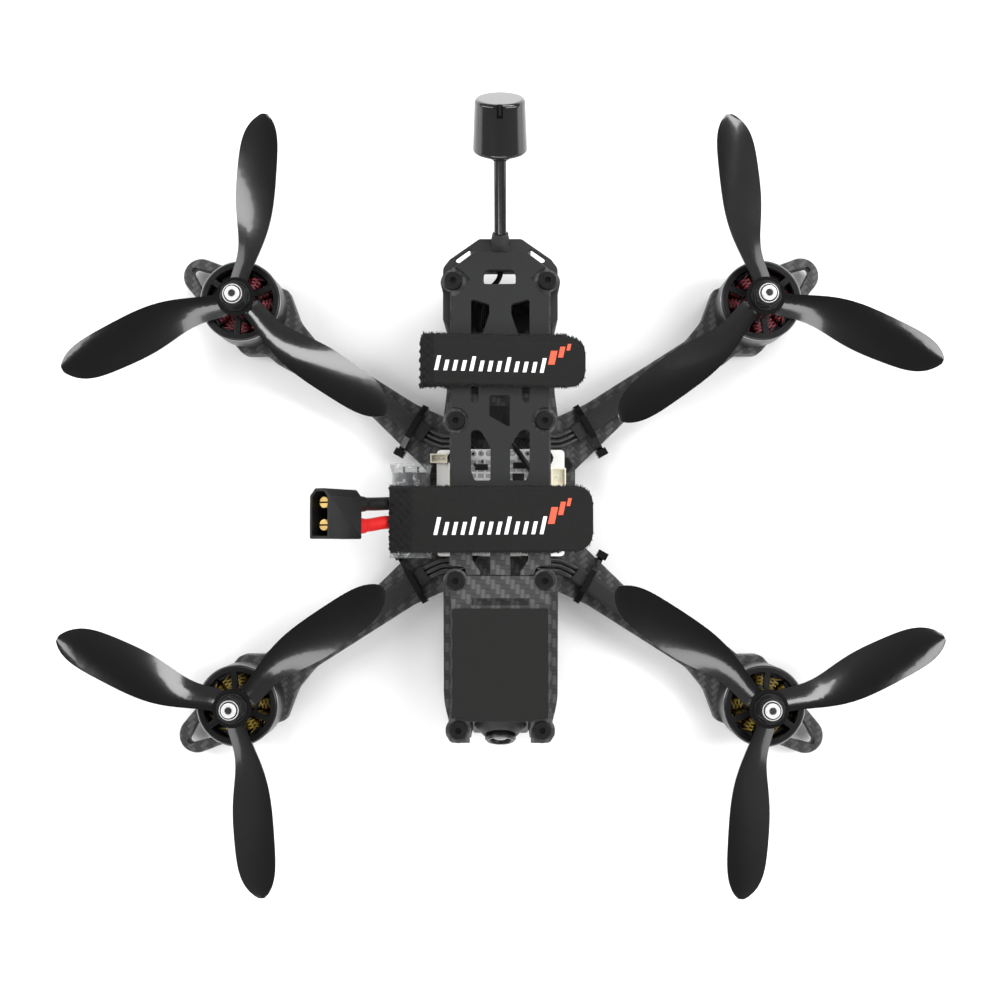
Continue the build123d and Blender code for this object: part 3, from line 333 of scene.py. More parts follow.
def make_materials():
    """Every material, by the name of what it is on."""
    return {
        "carbon": carbon_weave("carbon_plate", (0.022, 0.022, 0.0225), (0.085, 0.085, 0.086)),
        "carbon_arm": carbon_weave("carbon_arm", (0.020, 0.020, 0.0205), (0.085, 0.085, 0.086),
                                   turn=math.radians(45)),
        "pad": plain("battery_pad_rubber", (0.016, 0.0163, 0.0163), 0.85, 0.25 * mm, 0.03 * mm, vary=0.08,
                     specular_ior_level=0.35),
        "front_pad": plain("front_pad_rubber", (0.009, 0.009, 0.0086), 0.9, 0.35 * mm, 0.05 * mm, vary=0.1,
                           specular_ior_level=0.35),
        "print": layered("printed_rubber", (0.013, 0.013, 0.0135), 0.6),
        "black_steel": plain("black_steel", (0.012, 0.012, 0.0125), 0.3, 0.2 * mm, 0.01 * mm, 0.3),
        "steel": plain("turned_steel", (0.80, 0.80, 0.80), 0.28, 0.2 * mm, 0.01 * mm, 0.45, 0.06),
        "standoff": plain("anodised_standoff", (0.02, 0.02, 0.022), 0.35, 0.3 * mm, 0.01 * mm, 0.7),
        "motor": plain("anodised_motor", (0.006, 0.006, 0.0065), 0.32, 0.25 * mm, 0.015 * mm, 0.2),
        "lamination": brushed("stator_lamination", (0.16, 0.16, 0.17), 0.4),
        "copper_red": plain("enamelled_wire_red", (1.0, 0.20, 0.24), 0.3, 0.3 * mm, 0.01 * mm, 0.0, 0.1,
                            coat_weight=1.0),
        "copper_gold": plain("enamelled_wire_gold", (1.0, 0.66, 0.12), 0.3, 0.3 * mm, 0.01 * mm, 0.0, 0.1,
                             coat_weight=1.0),
        "magnet": plain("plated_magnet", (0.33, 0.33, 0.35), 0.3, 0.3 * mm, 0.01 * mm, 0.9),
        "prop": plain("gloss_propeller", (0.003, 0.003, 0.0034), 0.17, 2.5 * mm, 0.02 * mm, coat_weight=0.5,
                      coat_roughness=0.06),
        "antenna": plain("gloss_antenna", (0.006, 0.006, 0.0065), 0.16, 1.2 * mm, 0.02 * mm,
                         coat_weight=0.5),
        "rubber_wire": plain("black_silicone", (0.008, 0.008, 0.008), 0.38, 0.5 * mm, 0.02 * mm),
        "red_wire": plain("red_silicone", (0.55, 0.012, 0.012), 0.4, 0.5 * mm, 0.02 * mm, vary=0.12),
        "sleeve": braided("braided_sleeve", (0.013, 0.013, 0.0135)),
        "tie": plain("tie_nylon", (0.005, 0.005, 0.0055), 0.22, 0.5 * mm, 0.02 * mm),
        "board": plain("white_board", (0.94, 0.94, 0.92), 0.45, 0.6 * mm, 0.01 * mm, vary=0.05),
        "chip": plain("black_chip", (0.016, 0.016, 0.017), 0.4, 0.3 * mm, 0.02 * mm),
        "solder": plain("solder_tin", (0.78, 0.79, 0.80), 0.25, 0.3 * mm, 0.02 * mm, 0.5, 0.1),
        "nylon": plain("cream_nylon", (0.78, 0.74, 0.60), 0.4, 0.4 * mm, 0.02 * mm, vary=0.06),
        "can": plain("capacitor_film", (0.012, 0.012, 0.014), 0.25, 1.2 * mm, 0.02 * mm),
        "aluminium": plain("bare_aluminium", (0.80, 0.81, 0.82), 0.3, 0.3 * mm, 0.01 * mm, 0.5, 0.08),
        "plug": plain("plug_plastic", (0.006, 0.006, 0.0065), 0.38, 0.3 * mm, 0.03 * mm,
                      specular_ior_level=0.35),
        "gold": plain("gold_plate", (0.95, 0.62, 0.20), 0.22, 0.3 * mm, 0.01 * mm, 0.5, 0.1),
        "case": plain("camera_case", (0.009, 0.009, 0.009), 0.5, 0.25 * mm, 0.03 * mm),
        "lens": plain("lens_barrel", (0.010, 0.010, 0.011), 0.3, 0.3 * mm, 0.01 * mm, 0.2),
        "glass": plain("lens_glass", (0.010, 0.008, 0.025), 0.03, 3 * mm, 0.002 * mm, coat_weight=1.0),
        "heat_sink": plain("transmitter_shield", (0.05, 0.05, 0.055), 0.4, 0.3 * mm, 0.02 * mm, 0.7),
        "strap": webbing("strap_face", (0.0055, 0.0055, 0.0052)),
        "strap_pile": fuzzy("strap_pile", (0.006, 0.006, 0.0058)),
        "white_mark": plain("white_mark", (0.86, 0.86, 0.86), 0.6, 0.4 * mm, 0.02 * mm, vary=0.05),
        "red_mark": plain("red_mark", (0.70, 0.09, 0.04), 0.6, 0.4 * mm, 0.02 * mm, vary=0.15),
        "film": clear_film("clear_film"),
        "grommet": plain("grommet_rubber", (0.018, 0.018, 0.018), 0.7),
    }


def dress(names, material, bevel=0.0):
    """Give CAD nodes a material, and a small edge rounding where it shows."""
    for name in names:
        node = nodes[name]
        node.data.materials.clear()
        node.data.materials.append(paints[material])
        if bevel:
            weld = node.modifiers.new("weld", "WELD")
            weld.merge_threshold = 0.002 * mm
            edge = node.modifiers.new("bevel", "BEVEL")
            edge.width = bevel
            edge.segments = 2
            edge.limit_method = "ANGLE"
            edge.angle_limit = math.radians(40)
            edge.harden_normals = True


def dress_frame():
    """Materials of the CAD nodes whose shape stays."""
    plates = ["bottom_plate", "mid_plate", "top_plate_rear", "top_plate_front", "camera_side_plates"]
    dress(plates, "carbon", 0.12 * mm)
    dress([f"arm_{quarter}" for quarter in quarters], "carbon_arm", 0.1 * mm)
    dress(["battery_pad"], "pad", 0.12 * mm)
    dress(["front_pad"], "front_pad", 0.12 * mm)
    dress(["standoffs"], "standoff")
    dress(["frame_fasteners", "stack_fasteners", "camera_screws", "motor_screws"], "black_steel", 0.1 * mm)
    dress(["stack_grommets"], "grommet")
    dress(["antenna_mount"], "print", 0.2 * mm)
    dress(["antenna_mast", "antenna_cap"], "antenna")
    dress(["antenna_coax", "motor_wires"], "rubber_wire")
    dress(["wire_sleeves"], "sleeve")
    dress(["cable_ties"], "tie", 0.12 * mm)
    dress(["esc_board", "flight_controller"], "board", 0.06 * mm)
    dress(["boot_button"], "chip")
    dress(["wire_connectors"], "nylon", 0.1 * mm)
    dress(["video_transmitter"], "heat_sink", 0.1 * mm)
    dress(["radio_receiver"], "chip", 0.1 * mm)
    dress(["capacitor"], "can")
    dress(["camera_case"], "case", 0.15 * mm)
    dress(["camera_lens"], "lens", 0.1 * mm)
    dress(["motor_bases"], "motor", 0.15 * mm)
    dress(["motor_bearings"], "steel")
    dress(["motor_stators"], "lamination")
    dress(["power_plug_housing"], "plug", 0.15 * mm)
    dress(["power_plug_pins"], "gold", 0.12 * mm)
    for quarter in quarters:
        dress([f"propeller_{quarter}"], "prop")
        dress([f"motor_bell_{quarter}"], "motor", 0.12 * mm)
        dress([f"motor_shaft_{quarter}"], "steel", 0.1 * mm)
        dress([f"prop_nut_{quarter}"], "black_steel", 0.15 * mm)


# ---------------------------------------------------------------- mesh helpers


def finish_piece(name, mesh, body, materials, smooth=True):
    """Link a mesh as a piece that rides on a body and materials."""
    piece = bpy.data.objects.new(name, mesh)
    bpy.context.collection.objects.link(piece)
    for material in materials:
        mesh.materials.append(paints[material])
    if smooth:
        mesh.shade_smooth()
    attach(piece, body)
    return piece


def mesh_from(name, build):
    """A mesh whose faces build(bm) makes, with outward normals."""
    bm = bmesh.new()
    build(bm)
    bmesh.ops.recalc_face_normals(bm, faces=bm.faces)
    mesh = bpy.data.meshes.new(name)
    bm.to_mesh(mesh)
    bm.free()
    return mesh


def in_metres(profile):
    """A profile or route written in millimetres, in metres."""
    return [tuple(value * mm for value in point) for point in profile]


def circle(centre, side, other, radius, steps):
    """Points round a circle in the plane of two unit vectors."""
    angles = (math.tau * step / steps for step in range(steps))
    return [centre + (side * math.cos(angle) + other * math.sin(angle)) * radius for angle in angles]


def add_tube(bm, points, radius, sides=10, closed=False):
    """A round tube along points, with flat caps where it is open."""
    rings = []
    count = len(points)
    up = Vector((0.31, 0.17, 0.94)).normalized()
    for index, point in enumerate(points):
        after = points[(index + 1) % count] if closed or index + 1 < count else point
        before = points[index - 1] if closed or index > 0 else point
        along = (after - before).normalized()
        side = along.cross(up).normalized()
        rings.append([bm.verts.new(spot) for spot in circle(point, side, side.cross(along), radius, sides)])
    for index in range(count if closed else count - 1):
        ring, following = rings[index], rings[(index + 1) % count]
        for step in range(sides):
            other = (step + 1) % sides
            bm.faces.new((ring[step], ring[other], following[other], following[step]))
    if not closed:
        bm.faces.new(rings[0][::-1])
        bm.faces.new(rings[-1])


def add_box(bm, centre, size, material=0, round_edge=0.0):
    """An upright box, with slightly rounded edges where it is asked for."""
    verts = bmesh.ops.create_cube(bm, size=1.0)["verts"]
    place = Matrix.Translation(centre) @ Matrix.Diagonal((*size, 1))
    bmesh.ops.transform(bm, matrix=place, verts=verts)
    faces = {face for vert in verts for face in vert.link_faces}
    for face in faces:
        face.material_index = material
    if round_edge:
        edges = list({edge for face in faces for edge in face.edges})
        made = bmesh.ops.bevel(bm, geom=edges, offset=round_edge, segments=2, affect="EDGES", profile=0.6)
        for face in made["faces"]:
            face.material_index = material


def add_lathe(bm, centre, axis, profile, steps=64, material=0):
    """A turned shape from (radius, height) points round an axis through centre."""
    axis = axis.normalized()
    side = axis.orthogonal().normalized()
    other = axis.cross(side)
    rings = []
    for radius, height in profile:
        middle = centre + axis * height
        spots = [middle] if radius < 1e-7 else circle(middle, side, other, radius, steps)
        rings.append([bm.verts.new(spot) for spot in spots])
    for ring, following in zip(rings, rings[1:]):
        for step in range(steps):
            corner = [ring[step % len(ring)], ring[(step + 1) % len(ring)],
                      following[(step + 1) % len(following)], following[step % len(following)]]
            unique = list(dict.fromkeys(corner))
            if len(unique) > 2:
                bm.faces.new(unique).material_index = material


# ---------------------------------------------------------------- power leads


lead_diameter = 4.5 * mm
lead_routes = {
    "black": [(-19.6, 1.0, 17.5), (-22.3, 0.4, 25.5), (-30.0, -0.4, 32.0), (-38.6, -0.9, 36.0),
              (-44.3, -1.4, 43.3), (-48.3, -1.4, 49.7)],
    "red": [(-19.6, -9.0, 17.5), (-22.3, -8.4, 25.5), (-30.0, -7.2, 32.0), (-38.6, -7.0, 36.0),
            (-44.3, -8.6, 43.3), (-48.3, -8.6, 49.7)],
}


def make_leads():
    """Two silicone leads from the speed controller to the plug, each with a shrink sleeve at the plug."""
    for color, route in lead_routes.items():
        curve = bpy.data.curves.new(f"lead_{color}", "CURVE")
        curve.dimensions = "3D"
        curve.bevel_depth = lead_diameter / 2
        curve.bevel_resolution = 6
        curve.resolution_u = 16
        curve.use_fill_caps = True
        spline = curve.splines.new("NURBS")
        spline.points.add(len(route) - 1)
        for point, place in zip(spline.points, route):
            point.co = (*(Vector(place) * mm), 1)
        spline.order_u = 3
        spline.use_endpoint_u = True
        curve.materials.append(paints["red_wire" if color == "red" else "rubber_wire"])
        lead = bpy.data.objects.new(f"lead_{color}", curve)
        bpy.context.collection.objects.link(lead)
        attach(lead, "frame")
        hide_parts(f"power_lead_{color}")
        sleeve = make_lead_sleeve(color, route)


def make_lead_sleeve(color, route):
    """Shrink tubing over the solder joint, pulled in at its free end."""
    covered = 6.4 * mm
    end = Vector(route[-1]) * mm
    along = (end - Vector(route[-2]) * mm).normalized()
    profile = in_metres([(2.26, 0.0), (2.42, 0.15), (2.5, 0.5), (2.62, 1.6), (2.72, 3.0), (2.66, 4.4),
                         (2.74, 5.6), (2.7, 6.5), (2.3, 6.52)])
    name = f"lead_sleeve_{color}"
    mesh = mesh_from(name, lambda bm: add_lathe(bm, end - along * covered, along, profile))
    return finish_piece(name, mesh, "frame", ["red_wire" if color == "red" else "rubber_wire"])


# ---------------------------------------------------------------- straps

# In mm: the strap's line over the tongue, under the fold and under the plate, and its hidden left bend.
strap_upper = 39.9
strap_lower = 38.85
strap_under = 34.1
strap_left = -18.9
strap_thick = 0.95
skew_reach = 28.0
strap_columns = 36


def fold_path(tip, fold, right_side):
    """The strap's line in (x, z), in mm: tongue tip to fold, back over the pad, round the plate and up."""
    turn = (strap_upper - strap_lower) / 2
    bulge = 1.3
    line = [(tip, strap_upper), (fold + turn, strap_upper)]
    for step in range(1, 8):
        angle = math.pi / 2 + math.pi * step / 8
        reach = turn * bulge * math.cos(angle)
        line.append((fold + turn + reach, (strap_upper + strap_lower) / 2 + turn * math.sin(angle)))
    line += [(fold + turn, strap_lower), (right_side - 2.4, strap_lower)]
    line += [(right_side - 0.8, strap_lower - 0.5), (right_side, strap_lower - 2.0)]
    line += [(right_side - 0.6, strap_under + 0.9), (right_side - 2.6, strap_under)]
    line += [(strap_left + 2.4, strap_under), (strap_left + 0.6, strap_under + 0.7)]
    line += [(strap_left, strap_under + 2.0), (strap_left + 0.1, strap_lower - 0.9)]
    return line


def walk(line, step):
    """Points about a step apart along a line, each with its distance from the start."""
    points, travelled = [], 0.0
    for start, end in zip(line, line[1:]):
        start, end = Vector(start), Vector(end)
        length = (end - start).length
        parts = max(1, round(length / step))
        for index in range(parts):
            points.append((start.lerp(end, index / parts), travelled + length * index / parts))
        travelled += length
    points.append((Vector(line[-1]), travelled))
    return points, travelled


def strap_wave(x, y, distance, seed):
    """How far a strap's face stands off its line, in mm, from gentle waves and small creases."""
    spot = Vector((x * 0.9, y * 0.9, distance * 0.05 + seed))
    return 0.16 * noise.noise(spot * 0.22) + 0.05 * noise.noise(spot * 1.3)


def strap_rows(line, y_low, y_high, tip_round, skew, rib_limit, seed):
    """The strap's length, and its rows of (point, outward direction, y, wave, half thickness), in mm."""
    points, length = walk(line, 0.45)
    width = y_high - y_low
    middle = (y_high + y_low) / 2
    tongue = line[0][0] - line[1][0]
    rows = []
    for index, (point, distance) in enumerate(points):
        before = points[max(0, index - 1)][0]
        after = points[min(len(points) - 1, index + 1)][0]
        along = (after - before).normalized()
        out = Vector((-along.y, along.x)) * -1
        inset = 0.0
        if distance < tip_round:
            inset = tip_round - math.sqrt(max(0.0, tip_round**2 - (tip_round - distance)**2))
        on_tongue = out.y > 0.5 and distance < tongue
        lean = skew * (point.x / skew_reach) * (1 if on_tongue else -0.6)
        row = []
        for step in range(strap_columns + 1):
            share = step / strap_columns
            edge = min(share, 1 - share) * width
            y = middle + (share - 0.5) * (width - 2 * inset) + lean
            spot = Vector((point.x * 0.9, y * 0.9, distance * 0.05 + seed))
            fray = max(0.0, 1 - edge / 0.5)
            y += fray * 0.45 * noise.noise(spot * 2.3) * (1 if share > 0.5 else -1)
            seam = 0.14 * math.exp(-((edge - 1.9) / 0.35) ** 2)
            wave = strap_wave(point.x, y, distance, seed) - seam
            if point.x < rib_limit and out.y > -0.3:
                bent = min(1.0, (rib_limit - point.x) / 2)
                ribs = math.sin(point.x * 2.4 + noise.noise(spot * 0.5))
                ribs *= math.cos(y * 2.2 + noise.noise(spot * 0.4))
                wave += bent * (0.42 * ribs + 0.4 * noise.noise(spot * 1.9))
            half = strap_thick / 2 * (1 - 0.55 * max(0.0, 1 - edge / 0.35)**2)
            row.append((point, out, y, wave, half))
        rows.append(row)
    return rows, length


def strap_skin(bm, rows, side):
    """One face of a strap: its outer skin for a side of 1, its inner skin for -1."""
    return [[bm.verts.new(Vector((p.x + o.x * (w + side * h), y, p.y + o.y * (w + side * h))) * mm)
             for p, o, y, w, h in row] for row in rows]


def make_strap(name, node, line, y_low, y_high, tip_round, skew, rib_limit, seed):
    """A folded strap: one closed band with a round tongue, gentle waves, ribs at the fold and a fringe."""
    rng = random.Random(seed)
    rows, length = strap_rows(line, y_low, y_high, tip_round, skew, rib_limit, seed)
    printed = line[0][0] - rib_limit
    bm = bmesh.new()
    top = strap_skin(bm, rows, 1)
    under = strap_skin(bm, rows, -1)
    for index in range(len(rows) - 1):
        here, after, below, below_after = top[index], top[index + 1], under[index], under[index + 1]
        for step in range(strap_columns):
            face = bm.faces.new((here[step], here[step + 1], after[step + 1], after[step]))
            face.material_index = 0 if index * length / len(rows) < printed else 1
            face = bm.faces.new((below[step], below_after[step], below_after[step + 1], below[step + 1]))
            face.material_index = 1
        for step in (0, strap_columns):
            face = bm.faces.new((here[step], after[step], below_after[step], below[step]))
            face.material_index = 1
    for index in (0, -1):
        here, below = top[index], under[index]
        for step in range(strap_columns):
            face = bm.faces.new((here[step], below[step], below[step + 1], here[step + 1]))
            face.material_index = 1
    bmesh.ops.recalc_face_normals(bm, faces=bm.faces)
    mesh = bpy.data.meshes.new(name)
    bm.to_mesh(mesh)
    bm.free()
    strap = finish_piece(name, mesh, "frame", ["strap", "strap_pile"])
    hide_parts(node)
    fuzz = make_fuzz(f"{name}_fuzz", rows, rng)


def add_fibre(bm, root, bend, tip):
    """A thin three-sided sliver, bent once and ending in a point."""
    offsets = (Vector((0.07, 0.0, 0.03)), Vector((-0.07, 0.0, -0.03)), Vector((0.0, 0.02, 0.07)))
    base = [bm.verts.new((root + offset) * mm) for offset in offsets]
    knee = [bm.verts.new((bend + offset * 0.8) * mm) for offset in offsets]
    top = bm.verts.new(tip * mm)
    for a, b in ((0, 1), (1, 2), (2, 0)):
        bm.faces.new((base[a], base[b], knee[b], knee[a]))
        bm.faces.new((knee[a], knee[b], top))
    bm.faces.new(base[::-1])


def make_fuzz(name, rows, rng):
    """Short stray fibres along the strap's edges."""
    strands = 4

    def build(bm):
        for row in rows:
            for step, sign in ((0, -1), (strap_columns, 1)):
                for _ in range(strands):
                    point, out, y, wave, half = row[step]
                    level = rng.uniform(-0.8, 0.8) * half + wave
                    x = point.x + out.x * level + rng.uniform(-0.2, 0.2)
                    root = Vector((x, y - sign * 0.15, point.y + out.y * level))
                    reach = rng.uniform(0.3, 1.0)
                    tip = root + Vector((rng.uniform(-0.4, 0.4), sign * reach, rng.uniform(-0.15, 0.3)))
                    bend = (root + tip) / 2 + Vector((rng.uniform(-0.1, 0.1), 0, 0.08))
                    add_fibre(bm, root, bend, tip)
    return finish_piece(name, mesh_from(name, build), "frame", ["strap_pile"])


def make_straps():
    """Rear and front straps, each printed with plain strokes and red flecks."""
    rear_tip, front_tip = 28.6, 31.0
    rear_skew, front_skew = -0.75, 0.2
    rear_seed, front_seed = 3, 8
    rear = fold_path(rear_tip, -26.4, 22.4)
    front = fold_path(front_tip, -36.6, 19.8)
    make_strap("strap_rear", "battery_strap_rear", rear, 38.6, 55.6, 5.5, rear_skew, -21.5, rear_seed)
    make_strap("strap_front", "battery_strap_front", front, -17.1, 4.7, 6.0, front_skew, -28.5, front_seed)
    make_marks("strap_rear_marks", rear_tip, 45.6, 4.9, rear_skew, rear_seed)
    make_marks("strap_front_marks", front_tip, -8.4, 5.9, front_skew, front_seed)


def make_marks(name, tip, y, height, skew, seed):
    """Thin printed strokes and three red flecks that lie on a strap's tongue and follow its waves."""
    strokes, first, pitch, thick = 13, -21.0, 2.95, 1.25
    flecks = ((17.6, 2.2, 0.55, 0.95), (20.6, 1.7, 0.95, 0.75), (23.0, 1.2, 1.3, 0.45))
    bars = []
    for index in range(strokes):
        tall = index % 4 == 0
        bars.append((first + pitch * index, thick, 0.0 if tall else -0.14 * height, 1.0 if tall else 0.72, 0))
    for x, width, rise, share in flecks:
        bars.append((x, width, rise * height, share, 1))

    def build(bm):
        for x, width, shift, share, material in bars:
            middle = Vector((x, y + shift + skew * x / skew_reach))
            add_bar(bm, middle, width, height * share, material, tip, seed)
    finish_piece(name, mesh_from(name, build), "frame", ["white_mark", "red_mark"],
                 smooth=False)


def add_bar(bm, middle, width, height, material, tip, seed):
    """One slanted printed bar, a closed skin that stands a little off the strap's face."""
    columns, rows, slant = 4, 7, 0.22
    faces = []
    sheets = []
    for lift in (0.50, 0.58):
        grid = []
        for row in range(rows):
            share = row / (rows - 1) - 0.5
            y = middle.y + share * height
            line = []
            for column in range(columns):
                x = middle.x + (column / (columns - 1) - 0.5) * width + share * slant * height
                z = strap_upper + lift + strap_wave(x, y, tip - x, seed)
                line.append(bm.verts.new(Vector((x, y, z)) * mm))
            grid.append(line)
        sheets.append(grid)
    low, high = sheets
    for row in range(rows - 1):
        for column in range(columns - 1):
            for grid in sheets:
                here, after = grid[row], grid[row + 1]
                faces.append((here[column], here[column + 1], after[column + 1], after[column]))
        faces += [(low[row][column], low[row + 1][column], high[row + 1][column], high[row][column])
                  for column in (0, columns - 1)]
    for row in (0, rows - 1):
        faces += [(low[row][column], low[row][column + 1], high[row][column + 1], high[row][column])
                  for column in range(columns - 1)]
    for corners in faces:
        bm.faces.new(corners).material_index = material


# ---------------------------------------------------------------- motors


def motor_place(quarter):
    """The motor's axis in the plan."""
    return Vector((*joints[f"spin_{quarter}"]["pos_m"][:2], 0))


def coil_points(half_width, low, high):
    """One turn of wire round a stator tooth: a rounded rectangle in an upright plane across the tooth."""
    corner = 0.7 * mm
    points = []
    for side, end, start in ((1, 1, 0), (-1, 1, 90), (-1, -1, 180), (1, -1, 270)):
        centre_y = side * (half_width - corner)
        centre_z = high - corner if end > 0 else low + corner
        for step in range(4):
            angle = math.radians(start + 30 * step)
            y, z = centre_y + corner * math.cos(angle), centre_z + corner * math.sin(angle)
            points.append(Vector((0.0, y, z)))
    return points


def make_windings():
    """Twelve wound coils in each motor, in place of the plain coil blocks."""
    low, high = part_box("motor_windings")
    margin = 0.25 * mm
    teeth, turns, wire_radius = 12, 6, 0.23 * mm
    for quarter in quarters:
        centre = motor_place(quarter)

        def build(bm):
            for tooth in range(teeth):
                turn = Matrix.Rotation(math.tau * tooth / teeth, 4, "Z")
                for index in range(turns):
                    middle = Vector(((6.9 + 0.6 * index) * mm, 0, 0))
                    slant = Matrix.Rotation(math.radians(24 if index % 2 else -20), 4, "Z")
                    loop = coil_points((1.2 + 0.13 * index) * mm, low.z + margin, high.z - margin)
                    line = [centre + turn @ (middle + slant @ point) for point in loop]
                    add_tube(bm, line, wire_radius, 6, closed=True)
        name = f"windings_{quarter}"
        paint = "copper_red" if quarter.startswith("rear") else "copper_gold"
        coils = finish_piece(name, mesh_from(name, build), "frame", [paint])
        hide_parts("motor_windings")


def make_bell_trim():
    """The bright cut edge of each bell, the nut's bright ring, and a black disc on the shaft's top, painted
    shade in place of the dark centre hole of the shaft.
    """
    up = Vector((0, 0, 1))
    rim = 25.6
    edge = in_metres([(14.02, rim - 1.25), (14.07, rim - 1.15), (14.07, rim - 0.74), (13.86, rim - 0.53),
                      (13.7, rim - 0.6), (14.02, rim - 1.25)])
    hole = in_metres([(0.0, -0.2), (0.95, -0.2), (0.95, 0.03), (0.0, 0.03)])
    ring = in_metres([(2.9, -0.5), (3.0, 0.03), (3.3, 0.03), (3.4, -0.5), (2.9, -0.5)])
    for quarter in quarters:
        centre = motor_place(quarter)
        nut_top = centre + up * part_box(f"prop_nut_{quarter}")[1].z
        shaft_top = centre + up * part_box(f"motor_shaft_{quarter}")[1].z

        def collar(bm):
            # Painted shade: a black disc on the shaft's top stands in for the shade inside its hollow centre.
            add_lathe(bm, shaft_top, up, hole, 48)
            add_lathe(bm, nut_top, up, ring, 64, 1)
        name = f"bell_edge_{quarter}"
        mesh = mesh_from(name, lambda bm: add_lathe(bm, centre, up, edge, 96))
        finish_piece(name, mesh, f"rotor_{quarter}", ["magnet"], smooth=False)
        name = f"nut_ring_{quarter}"
        mesh = mesh_from(name, collar)
        finish_piece(name, mesh, f"rotor_{quarter}", ["chip", "steel"], smooth=False)


def make_lens_glass():
    """A curved front element inside the lens ring."""
    tilt = math.radians(25)
    pivot = Vector(joints["camera_tilt"]["pos_m"])
    along = Vector((0, -math.cos(tilt), math.sin(tilt)))
    radius, rim, crown = 3.15, 10.05, 1.25
    angles = [math.radians(11 * step) for step in range(8)]
    dome = [(radius * math.cos(angle), rim + crown * math.sin(angle)) for angle in angles]
    profile = in_metres([(radius, rim - 0.1)] + dome + [(0.0, rim + crown)])
    mesh = mesh_from("lens_glass", lambda bm: add_lathe(bm, pivot, along, profile))
    finish_piece("lens_glass", mesh, "camera", ["glass"])


# ---------------------------------------------------------------- boards and capacitor

board_thick = 1.6 * mm
esc_top = 15.0 * mm + board_thick
fc_top = 21.5 * mm + board_thick
stack_place = 15.25
screw_clear = 4.2


def add_small_parts(bm, rng, level, half_x, half_y, count):
    """Small two-ended parts at random over a board, clear of its corner screws."""
    height, cap, cap_place, overlap = 0.5, 0.3, 0.42, 0.04
    for _ in range(count):
        x, y = rng.uniform(-half_x, half_x), rng.uniform(-half_y, half_y)
        if abs(abs(x) - stack_place) < screw_clear and abs(abs(y) - stack_place) < screw_clear:
            continue
        width, depth = rng.choice([(1.0, 0.5), (0.5, 1.0), (1.6, 0.8), (0.8, 1.6)])
        middle = Vector((x * mm, y * mm, level + height / 2 * mm))
        add_box(bm, middle, Vector((width, depth, height)) * mm)
        for end in (-1, 1):
            if width > depth:
                shift = Vector((width * cap_place * end, 0, 0))
                size = Vector((cap, depth + overlap, height + 0.03))
            else:
                shift = Vector((0, depth * cap_place * end, 0))
                size = Vector((width + overlap, cap, height + 0.03))
            add_box(bm, middle + shift * mm, size * mm, material=1)


def add_upper_pads(bm):
    """Plated holes along the upper board's rear edge, with rows of flat pads in front of them."""
    up = Vector((0, 0, 1))
    hole = in_metres([(0.56, -0.2), (0.56, 0.06), (1.0, 0.06), (1.05, 0.0)])
    pad = Vector((2.0, 1.5, 0.1)) * mm
    for x in (-9.5, -6.8, -4.1, 4.1, 6.8, 9.5):
        add_lathe(bm, Vector((x * mm, 17.0 * mm, fc_top)), up, hole, 24, 1)
        for y in (13.9, 11.4, 9.2):
            add_box(bm, Vector((x * mm, y * mm, fc_top + 0.05 * mm)), pad, material=1)


def add_solder(bm):
    """Solder mounds on the lower board: three for each motor, and two large ones for the power leads."""
    up = Vector((0, 0, 1))
    mound = in_metres([(1.15, 0.0), (1.1, 0.5), (0.85, 1.1), (0.4, 1.7), (0.0, 1.85)])
    lead_mound = in_metres([(2.7, 0.0), (2.6, 0.6), (2.2, 1.3), (0.0, 1.5)])
    for side in (-1, 1):
        for end in (-1, 1):
            for lane in (-1, 0, 1):
                x, y = side * (9.0 - 1.66 * lane), end * (17.2 + 0.74 * lane)
                add_lathe(bm, Vector((x * mm, y * mm, esc_top)), up, mound, 20, 1)
    for y in (1.0, -9.0):
        add_lathe(bm, Vector((-19.7 * mm, y * mm, esc_top)), up, lead_mound, 28, 1)


def add_connector_pins(bm):
    """Square pins inside the wire connectors."""
    lift = 1.9 * mm
    pin = Vector((0.45, 0.45, 1.6)) * mm
    rows = ((-21.6, 15.6, esc_top, 3, 1.5), (20.3, 9.0, esc_top, 2, 1.7), (-16.4, 9.0, fc_top, 1, 1.2),
            (16.4, 8.4, fc_top, 1, 1.2), (0.0, -15.6, fc_top, 5, 1.5))
    for x, y, level, count, pitch in rows:
        for index in range(count):
            place = x + (index - (count - 1) / 2) * pitch
            add_box(bm, Vector((place * mm, y * mm, level + lift)), pin, material=1)


def make_board_parts():
    """Small parts, solder, plated holes and connector pins on the two boards."""
    rng = random.Random(21)

    def build(bm):
        add_small_parts(bm, rng, fc_top, 15.0, 15.5, 34)
        add_small_parts(bm, rng, esc_top, 19.5, 16.0, 40)
        add_upper_pads(bm)
        add_solder(bm)
        add_connector_pins(bm)
    finish_piece("board_parts", mesh_from("board_parts", build), "frame", ["chip", "solder"],
                 smooth=False)


def make_chip_covers():
    """Dark chip tops on both boards."""
    upper, lower = 0.95, 1.05
    chips = [((0, -2), (7.1, 7.1), fc_top, upper), ((-6.5, 4.5), (3.1, 3.1), fc_top, upper),
             ((6.2, 8.5), (4.1, 3.1), fc_top, upper), ((-6.6, 12.2), (4.5, 2.1), fc_top, upper),
             ((6.6, 12.8), (4.5, 2.1), fc_top, upper)]
    chips += [((sx * x, sy * y), (3.5, 4.7), esc_top, lower)
              for x in (5.2, 9.6) for y in (12.0, 6.4) for sx in (-1, 1) for sy in (-1, 1)]
    chips += [((0, 0), (5.6, 5.6), esc_top, lower)]

    def build(bm):
        for (x, y), (width, depth), level, height in chips:
            middle = Vector((x * mm, y * mm, level + height / 2 * mm))
            add_box(bm, middle, Vector((width, depth, height)) * mm, round_edge=0.08 * mm)
    finish_piece("chip_covers", mesh_from("chip_covers", build), "frame", ["chip"],
                 smooth=False)


